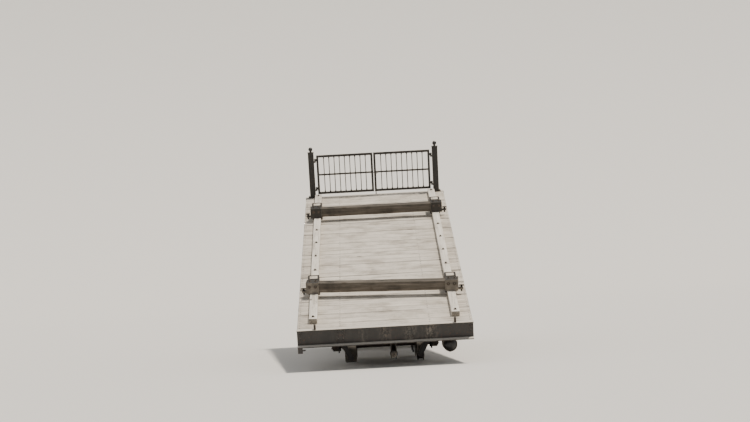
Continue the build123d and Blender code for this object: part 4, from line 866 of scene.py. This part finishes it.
class CAR_OT_chocks(bpy.types.Operator):
    """Cuts the two chock timbers, rough from the saw and dented by wheels."""

    bl_idname = "car.chocks"
    bl_label = "Chock timbers"

    def execute(self, context):
        chance = random.Random(context.scene.car_sizes.seed + 2)
        half = CHOCK_HALF_SECTION - CAP_PLATE
        reach = CHOCK_HALF_LENGTH - CAP_PLATE
        for number, chock in enumerate(CHOCKS, start=1):
            beam = plank(f"chock_timber_{number}", (-reach, -half, KERB_HEIGHT + CAP_PLATE),
                         (reach, half, KERB_HEIGHT + 2 * CHOCK_HALF_SECTION - CAP_PLATE), chance,
                         axis=0, cuts=17, wobble=0.005, bevel=0.009)
            beam.data.transform(chock_frame(*chock))
            settle(beam, "car", f"chock_{number}", ["chock_beams"])
        return {"FINISHED"}


class CAR_OT_deck_bolts(bpy.types.Operator):
    """Coach bolts of the boards, the kerbs and the chock caps."""

    bl_idname = "car.deck_bolts"
    bl_label = "Deck, kerb and chock bolts"

    def execute(self, context):
        size = context.scene.car_sizes.bolt_size
        spots = [(row, HEADSTOCK_WIDTH + (index + part) * BOARD_PITCH, -0.005)
                 for index in range(BOARD_COUNT) for part in BOARD_BOLTS for row in (CHORD_LINE, SILL_LINE)]
        model = rivet_model(BOARD_BOLT_RADIUS, height=0.35)
        fasten("deck_coach_bolts", model, upright(spots), "car", "bolts")
        spacing = (KERB_END - KERB_START - 2 * KERB_BOLT_INSET) / (KERB_BOLTS - 1)
        runs = [KERB_START + KERB_BOLT_INSET + index * spacing for index in range(KERB_BOLTS)]
        spots = [((KERB_INNER + KERB_OUTER) / 2, run, KERB_HEIGHT - 0.003) for run in runs
                 if all(abs(run - station) > KERB_BOLT_CLEARANCE for station, skew in CHOCKS)]
        fasten("kerb_bolts", bolt_model(size), upright(spots), "car", "bolts")
        level = KERB_HEIGHT + CHOCK_HALF_SECTION
        places = []
        for chock in CHOCKS:
            for offset in CAP_BOLTS:
                x = CHOCK_HALF_LENGTH - offset
                for way in SIDES:
                    spot = (x, way * CHOCK_HALF_SECTION, level - way * CAP_BOLT_SHIFT)
                    places += both_sides(chock_frame(*chock), [spot], (0, way, 0))
                top = (x, 0.0, level + CHOCK_HALF_SECTION)
                places += both_sides(chock_frame(*chock), [top], (0, 0, 1))
        fasten("chock_cap_bolts", bolt_model(size * 0.95), places, "car", "bolts")
        return {"FINISHED"}


class CAR_OT_headstock_rivets(bpy.types.Operator):
    """Angle cleats and rivets where chords, sills and rope anchor meet the end channels."""

    bl_idname = "car.headstock_rivets"
    bl_label = "Headstock cleats and rivets"

    def execute(self, context):
        faces = ((HEADSTOCK_WIDTH - HEADSTOCK_WEB, -1), (DECK_LENGTH - HEADSTOCK_WIDTH + HEADSTOCK_WEB, 1))
        sill, chord = (-0.090, -0.165), (-0.085, -0.145, -0.205)
        # Each joint's line, half width and rivet levels. A wide cleat has two columns of rivets.
        joints = ((-SILL_LINE, 0.030, sill), (SILL_LINE, 0.030, sill), (-CHORD_LINE, 0.075, chord),
                  (CHORD_LINE, 0.075, chord), (0.0, 0.055, (-0.085, -0.125)),
                  (0.410, 0.075, (-0.090, -0.200)))
        cleats = []
        places = []
        for face, way in faces:
            for x, half, levels in joints:
                cleats.append(block("cleat", (x - half, face, levels[-1] - CLEAT_MARGIN),
                                    (x + half, face + way * CLEAT_THICKNESS, levels[0] + CLEAT_MARGIN)))
                columns = SIDES if half > 0.05 else (0,)
                places += [DECK @ facing((x + column * half * 0.55, face + way * 0.008, level), (0, way, 0))
                           for level in levels for column in columns]
        assemble("headstock_cleats", cleats, DECK, "car", "headstock")
        model = rivet_model(context.scene.car_sizes.rivet_radius * 1.15)
        fasten("headstock_rivets", model, places, "car", "headstock")
        return {"FINISHED"}


class CAR_OT_truss_rivets(bpy.types.Operator):
    """Snap-head rivets of the gusset plates, on the outer faces of the trusses."""

    bl_idname = "car.truss_rivets"
    bl_label = "Truss rivets"

    def execute(self, context):
        top = chord_underside
        low = BOTTOM_CHORD_TOP
        heel = (low - top(0.0)) / math.tan(SLOPE)
        spots = []
        for index in range(6):
            y = heel - 0.24 + index * 0.10
            spots += [(y, low - 0.045), (y + 0.03, top(y + 0.03) + 0.055)]
        for y in POST_STATIONS:
            first, last = y == POST_STATIONS[0], y == POST_STATIONS[-1]
            for along in (-0.085, -0.025, 0.035) if last else (-0.065, 0.035, 0.135, 0.235):
                spots += [(y + along, low - 0.045), (y + along + 0.03, low - 0.088)]
            for along in (-0.06, 0.02, 0.10, 0.18, 0.26) if first else (-0.27, -0.19, -0.11, -0.03, 0.05):
                spots += [(y + along, top(y + along) + 0.045),
                          (y + along + 0.02, top(y + along + 0.02) + 0.092)]
            for level in () if first else (0.04, 0.09, 0.14, 0.19):
                spots += [(y + 0.018, low + level), (y + 0.018, top(y) - level - 0.02)]
        for y, after in zip(POST_STATIONS[:-1], POST_STATIONS[1:]):
            # Two rivets at each end of a diagonal, but the first has them at its top alone
            rise = top(after) - low
            length = math.hypot(after - y, rise)
            marks = (0.235, 0.285) if y > POST_STATIONS[0] else ()
            spots += [(y + along * (after - y) / length, low + along * rise / length)
                      for along in (*marks, length - 0.235, length - 0.285)]
        places = both_sides(TRACK, [(GUSSET_FACE - 0.001, y, z) for y, z in spots])
        model = rivet_model(context.scene.car_sizes.rivet_radius)
        fasten("truss_rivets", model, places, "car", "frame")
        return {"FINISHED"}


class CAR_OT_frame_rivets(bpy.types.Operator):
    """Rivets at the ends of the sway braces and along the seams of the body bolsters."""

    bl_idname = "car.frame_rivets"
    bl_label = "Brace and bolster rivets"

    def execute(self, context):
        places = []
        for y in POST_STATIONS[FIRST_SWAY_POST:]:
            low = BOTTOM_CHORD_TOP + SWAY_WIDTH
            high = chord_underside(y) - SWAY_WIDTH
            angle = math.atan2(high - low, 2 * POST_LINE)
            reach = (math.hypot(2 * POST_LINE, high - low) - SWAY_WIDTH / 2) / 2 - 0.022
            for way in SIDES:
                bar = Vector((math.cos(angle), 0, way * math.sin(angle)))
                across = Vector((-bar.z, 0, bar.x))
                centre = Vector((0, y + way * SWAY_FACE, (low + high) / 2))
                places += [TRACK @ facing(centre + end * bar + offset * across, (0, way, 0))
                           for end in (-reach, reach) for offset in (-0.018, 0.018)]
        for pivot in PIVOTS:
            for way in SIDES:
                spots = [((index + 0.5) * 0.115, pivot + way * BOLSTER_FACE, BOTTOM_CHORD_TOP - depth)
                         for index in range(6) for depth in (0.022, 0.138)]
                places += both_sides(TRACK, spots, (0, way, 0))
        model = rivet_model(context.scene.car_sizes.rivet_radius * 0.85)
        fasten("brace_and_bolster_rivets", model, places, "car", "frame")
        return {"FINISHED"}


class CAR_OT_outrigger_bolts(bpy.types.Operator):
    """Bolts of the outriggers' end plates and of the side sills."""

    bl_idname = "car.outrigger_bolts"
    bl_label = "Outrigger and sill bolts"

    def execute(self, context):
        rows = ((CHORD_OUTER + 0.010, (-0.095, -0.160, -0.225)), (SILL_WEB_FACE, (-0.095, -0.165)))
        spots = [(x, station + along, level) for station in BEARER_STATIONS for along in (-0.024, 0.024)
                 for x, levels in rows for level in levels]
        model = bolt_model(context.scene.car_sizes.bolt_size * 0.8, 1.4)
        fasten("outrigger_bolts", model, both_sides(DECK, spots), "car", "frame")
        return {"FINISHED"}


class CAR_OT_gate_irons(bpy.types.Operator):
    """Collars, latch, drop bolt and foot bolts of the downhill gate."""

    bl_idname = "car.gate_irons"
    bl_label = "Gate irons"

    def execute(self, context):
        span = GATE_OUTER - GATE_INNER - 2 * GATE_STILE
        for side, body in zip(SIDES, ("gate_left", "gate_right")):
            collars = []
            for index in range(GATE_BARS):
                x = side * (GATE_INNER + GATE_STILE + span * (index + 1) / (GATE_BARS + 1))
                collars += [rod("collar", 0.0135, (x, GATE_STATION, level - COLLAR_HALF),
                                (x, GATE_STATION, level + COLLAR_HALF), sides=12, bevel=0.003)
                            for level in COLLAR_LEVELS]
            assemble(f"{body}_collars", collars, DECK, body, "gate")
        x, level = LATCH_X, GATE_MIDDLE
        latch = [rod("bolt", 0.009, (x - 0.075, LATCH_Y, level), (x + 0.075, LATCH_Y, level)),
                 rod("handle", 0.007, (x + 0.030, LATCH_Y, level),
                     (x + 0.030, LATCH_Y - 0.042, level - 0.022)),
                 block("keep", (x + 0.045, LATCH_Y - 0.010, level - 0.017),
                       (x + 0.062, LATCH_Y + 0.016, level + 0.017)),
                 rod("drop_bolt", 0.010, (x, DROP_BOLT_Y, 0.012),
                     (x, DROP_BOLT_Y, DROP_GRIP_LEVEL + 0.004)),
                 rod("drop_grip", 0.008, (x, DROP_BOLT_Y, DROP_GRIP_LEVEL),
                     (x, DROP_BOLT_Y - 0.052, DROP_GRIP_LEVEL))]
        assemble("gate_latch", latch, DECK, "gate_right", "fittings")
        feet = [(x, DECK_LENGTH + y, 0.015) for x in (1.217, 1.373) for y in (-0.020, -0.078)]
        model = bolt_model(context.scene.car_sizes.bolt_size * 0.7, 1.4)
        fasten("gate_post_bolts", model, upright(feet), "car", "fittings")
        return {"FINISHED"}


class CAR_OT_bogie_details(bpy.types.Operator):
    """Caps and bolts of the axlebox covers, and the bolts and rivets of the bogie frames."""

    bl_idname = "car.bogie_details"
    bl_label = "Bogie details"

    def execute(self, context):
        sizes = context.scene.car_sizes
        for number, pivot in enumerate(PIVOTS, start=1):
            body = f"bogie_{number}"
            axles = [pivot + way * HALF_WHEELBASE for way in SIDES]
            caps = [rod("cap", 0.036, (side * (COVER_FACE - 0.001), axle, AXLE_HEIGHT),
                        (side * (COVER_FACE + 0.010), axle, AXLE_HEIGHT), sides=24)
                    for axle in axles for side in SIDES]
            assemble(f"{body}_cover_caps", caps, TRACK, body, "boxes")
            horns = [axle + way * HORN_EDGE for axle in axles for way in SIDES]
            rivets = [(FRAME_FACE - 0.001, pivot + along, level) for along in (-0.232, -0.200, 0.200, 0.232)
                      for level in (0.462, 0.500, 0.535)]
            rivets += [(FRAME_FACE - 0.001, horn, level) for horn in horns
                       for level in (0.300, 0.350, 0.400)]
            bolts = [(FRAME_FACE, horn, 0.245) for horn in horns]
            covers = [(COVER_FACE, axle + COVER_BOLT_CIRCLE * math.cos(angle),
                       AXLE_HEIGHT + COVER_BOLT_CIRCLE * math.sin(angle))
                      for axle in axles for angle in map(math.radians, (45, 135, 225, 315))]
            for name, spots, model, slot, finish in (
                    ("rivets", rivets, rivet_model(sizes.rivet_radius * 0.9), "running_gear", "gear"),
                    ("stay_bolts", bolts, bolt_model(sizes.bolt_size), "running_gear", "gear"),
                    ("cover_bolts", covers, bolt_model(sizes.bolt_size * 0.6, 1.4), "cast_boxes", "boxes")):
                fasten(f"{body}_{name}", model, both_sides(TRACK, spots), body, finish)
        return {"FINISHED"}


class CAR_OT_spring_details(bpy.types.Operator):
    """Rebound clips, pin nuts and oil lids at the bogie springs and axleboxes."""

    bl_idname = "car.spring_details"
    bl_label = "Spring and axlebox details"

    def execute(self, context):
        hinge_x, hinge_level = LID_HINGE
        for number, pivot in enumerate(PIVOTS, start=1):
            body = f"bogie_{number}"
            axles = [pivot + way * HALF_WHEELBASE for way in SIDES]
            clips = []
            lids = []
            for side in SIDES:
                for axle in axles:
                    for y in (axle - CLIP_REACH, axle + CLIP_REACH):
                        x = side * CLIP_BOLT_FACE
                        clips += [block("clip", (side * 0.808, y - 0.011, 0.449),
                                        (side * 0.890, y + 0.011, 0.511)),
                                  rod("clip_bolt", 0.006, (x, y, 0.512), (x, y, 0.520), sides=8)]
                    x = side * hinge_x
                    lids += [block("lid", (side * 0.899, axle - 0.036, 0.381),
                                   (side * 0.911, axle + 0.036, 0.404)),
                             rod("hinge", 0.006, (x, axle - 0.042, hinge_level),
                                 (x, axle + 0.042, hinge_level), sides=10)]
            assemble(f"{body}_spring_clips", clips, TRACK, body, "springs")
            assemble(f"{body}_oil_lids", lids, TRACK, body, "boxes")
            pins = [(SPRING_PIN_FACE, axle + way * SPRING_REACH, SPRING_EYE_HEIGHT)
                    for axle in axles for way in SIDES]
            model = bolt_model(context.scene.car_sizes.bolt_size * 0.55, 1.3)
            fasten(f"{body}_pin_nuts", model, both_sides(TRACK, pins), body, "gear")
        return {"FINISHED"}


class CAR_OT_brake_details(bpy.types.Operator):
    """Coil springs on the drums of the rail brakes, and the nuts of spindles and fulcrums."""

    bl_idname = "car.brake_details"
    bl_label = "Rail brake details"

    def coil(self):
        """One coil spring round the Z axis, from Z 0 upwards."""
        deselect()
        bpy.ops.mesh.primitive_circle_add(vertices=10, radius=COIL_WIRE, location=(COIL_RADIUS, 0, 0),
                                          rotation=(math.pi / 2, 0, 0))
        spring = finish_with(added("coil"), "SCREW", angle=math.tau, screw_offset=COIL_PITCH,
                             iterations=COIL_TURNS, steps=20, render_steps=20)
        with editing(spring):
            bpy.ops.mesh.fill_holes(sides=0)
            bpy.ops.mesh.select_all(action="SELECT")
            bpy.ops.mesh.normals_make_consistent(inside=False)
        return spring

    def execute(self, context):
        size = context.scene.car_sizes.bolt_size
        coils = both_sides(TRACK, [(COIL_START, station, SPINDLE_HEIGHT) for station in BRAKES])
        fasten("brake_coil_springs", self.coil(), coils, "car", "springs")
        ends = both_sides(TRACK, [(SPINDLE_END, station, SPINDLE_HEIGHT) for station in BRAKES])
        fasten("spindle_end_nuts", bolt_model(size, 1.4), ends, "car", "bare")
        places = []
        for station in BRAKES:
            for way in SIDES:
                spots = [(GAUGE_HALF + arm, station + way * HANGER_FACE, FULCRUM_HEIGHT)
                         for arm in (-LEVER_ARM, LEVER_ARM)]
                places += both_sides(TRACK, spots, (0, way, 0))
        fasten("fulcrum_nuts", bolt_model(size * 0.9, 1.4), places, "car", "frame")
        return {"FINISHED"}


class CAR_OT_air_pipe(bpy.types.Operator):
    """Air pipe from the tank along the right-hand truss to the rail brakes, with its elbows,
    unions and clips, and the drain cock under the tank."""

    bl_idname = "car.air_pipe"
    bl_label = "Air pipe and drain cock"

    def runs(self):
        """Corner points of each run of pipe."""
        x, tank_level = TANK_CENTRE
        rear = TANK_END + 0.051
        first, second = BRAKES
        middle = sum(BRAKES) / 2
        runs = [[(x, TANK_END - 0.012, tank_level), (x, rear, tank_level), (x, rear, PIPE_RISE),
                 (PIPE_FACE, rear, PIPE_RISE), (PIPE_FACE, rear, PIPE_LEVEL),
                 (PIPE_FACE, second, PIPE_LEVEL)],
                [(PIPE_FACE, middle, PIPE_LEVEL), (PIPE_FACE, middle, PIPE_CROSS),
                 (-PIPE_FACE, middle, PIPE_CROSS)],
                [(-PIPE_FACE, first, PIPE_CROSS), (-PIPE_FACE, second, PIPE_CROSS)]]
        for station in BRAKES:
            for side, top in ((1, PIPE_LEVEL), (-1, PIPE_CROSS)):
                runs.append([(side * PIPE_FACE, station, top), (side * PIPE_FACE, station, SPINDLE_HEIGHT),
                             (side * (SPINDLE_END + 0.012), station, SPINDLE_HEIGHT)])
        return runs

    def execute(self, context):
        parts = []
        for run in self.runs():
            for start, end in zip(map(Vector, run[:-1]), map(Vector, run[1:])):
                parts.append(rod("pipe", PIPE_RADIUS, start, end, sides=12, bevel=0.001))
                way = (end - start).normalized() * SOCKET_LENGTH
                for corner, inward in ((start, way), (end, -way)):
                    parts.append(rod("socket", SOCKET_RADIUS, corner, corner + inward, sides=12,
                                     bevel=0.003))
            for corner in run:
                deselect()
                bpy.ops.mesh.primitive_uv_sphere_add(segments=12, ring_count=8, radius=SOCKET_RADIUS,
                                                     location=corner)
                parts.append(added("elbow"))
        parts += [block("clip", (CHORD_OUTER + 0.010, station + 0.120, PIPE_LEVEL - 0.012),
                        (PIPE_FACE + 0.018, station + 0.145, PIPE_LEVEL + 0.018))
                  for station in POST_STATIONS[:2]]
        parts.append(rod("union", 0.024, (PIPE_FACE, UNION_START, PIPE_LEVEL),
                         (PIPE_FACE, UNION_END, PIPE_LEVEL), sides=6))
        assemble("air_pipe", parts, TRACK, "car", "tank")
        x, y, low = TANK_CENTRE[0], (TANK_START + TANK_END) / 2, TANK_CENTRE[1] - TANK_RADIUS
        cock = [rod("boss", 0.018, (x, y, low - 0.007), (x, y, low + 0.010), sides=12),
                rod("stem", 0.008, (x, y, low - 0.026), (x, y, low), sides=10),
                rod("plug", 0.008, (x - 0.020, y, low - 0.015), (x + 0.020, y, low - 0.015), sides=10),
                rod("key", 0.004, (x + 0.018, y, low - 0.026), (x + 0.018, y, low - 0.004), sides=8)]
        assemble("tank_drain_cock", cock, TRACK, "car", "bare")
        return {"FINISHED"}


class CAR_OT_rope_details(bpy.types.Operator):
    """Bands of the rope socket, and washers and split pins of its anchor pin."""

    bl_idname = "car.rope_details"
    bl_label = "Rope socket details"

    def execute(self, context):
        x, y, z = ROPE_PIN
        parts = []
        for along, radius in ROPE_BANDS:
            deselect()
            bpy.ops.mesh.primitive_torus_add(major_radius=radius, minor_radius=0.005, major_segments=32,
                                             minor_segments=8, location=(x, y + along, z),
                                             rotation=(math.pi / 2, 0, 0))
            parts.append(added("band"))
        for side in SIDES:
            near, far, pin = (x + side * reach for reach in (0.048, 0.0515, 0.0565))
            parts += [rod("washer", 0.037, (near, y, z), (far, y, z), sides=24, bevel=0.0008),
                      rod("split_pin", 0.003, (pin, y, z - 0.036), (pin, y, z + 0.034), sides=8,
                          bevel=0.0008)]
        assemble("rope_socket_bands", parts, TRACK, "car", "bare")
        return {"FINISHED"}


class CAR_OT_shoe_pads(bpy.types.Operator):
    """Worn timber pads let into the tops of the chock shoes."""

    bl_idname = "car.shoe_pads"
    bl_label = "Shoe pads"

    def execute(self, context):
        chance = random.Random(context.scene.car_sizes.seed + 3)
        inner = KERB_INNER - SHOE_PLATE + SHOE_RIM + PAD_GAP
        outer = KERB_OUTER + SHOE_PLATE - SHOE_RIM - PAD_GAP
        top = KERB_HEIGHT + 2 * CHOCK_HALF_SECTION + SHOE_RISE
        pads = []
        for station, skew in CHOCKS:
            turn = math.tan(skew)
            for side in SIDES:
                widest = max(side * KERB_INNER * turn, side * KERB_OUTER * turn)
                start = station + widest + SHOE_PLATE * abs(turn)
                start += CHOCK_HALF_SECTION / math.cos(skew) + SHOE_GAP
                near = (side * inner, start + SHOE_RIM + PAD_GAP, top - SHOE_RIM + PAD_BED)
                far = (side * outer, start + SHOE_LENGTH - SHOE_RIM - PAD_GAP, top - PAD_SINK)
                pads.append(plank("pad", near, far, chance, axis=1, cuts=5, wobble=0.0015, bevel=0.003))
        assemble("chock_shoe_pads", pads, DECK, "car", "pads")
        return {"FINISHED"}


class CAR_PT_panel(bpy.types.Panel):
    """Lists the sizes, the colours and the steps in the sidebar."""

    bl_label = "Platform car"
    bl_idname = "CAR_PT_panel"
    bl_space_type = "VIEW_3D"
    bl_region_type = "UI"
    bl_category = "Platform car"

    def draw(self, context):
        for group in (context.scene.car_sizes, context.scene.car_colours):
            for key in group.__annotations__:
                self.layout.prop(group, key)
        for step in STEPS:
            self.layout.operator(step.bl_idname)


STEPS = (CAR_OT_stage, CAR_OT_finishes, CAR_OT_deck_boards, CAR_OT_kerbs, CAR_OT_chocks,
         CAR_OT_deck_bolts, CAR_OT_headstock_rivets, CAR_OT_truss_rivets, CAR_OT_frame_rivets,
         CAR_OT_outrigger_bolts, CAR_OT_gate_irons, CAR_OT_bogie_details, CAR_OT_spring_details,
         CAR_OT_brake_details, CAR_OT_air_pipe, CAR_OT_rope_details, CAR_OT_shoe_pads)
CLASSES = (CarSizes, CarColours, *STEPS, CAR_PT_panel)


def register():
    """Registers the classes and their properties."""
    for item in CLASSES:
        bpy.utils.register_class(item)
    bpy.types.Scene.car_sizes = PointerProperty(type=CarSizes)
    bpy.types.Scene.car_colours = PointerProperty(type=CarColours)


def unregister():
    """Takes the properties and the classes away again."""
    del bpy.types.Scene.car_colours
    del bpy.types.Scene.car_sizes
    for item in reversed(CLASSES):
        bpy.utils.unregister_class(item)


def main():
    """Runs every step in order."""
    register()
    for step in STEPS:
        getattr(bpy.ops.car, step.bl_idname.split(".")[1])()


if __name__ == "__main__":
    main()
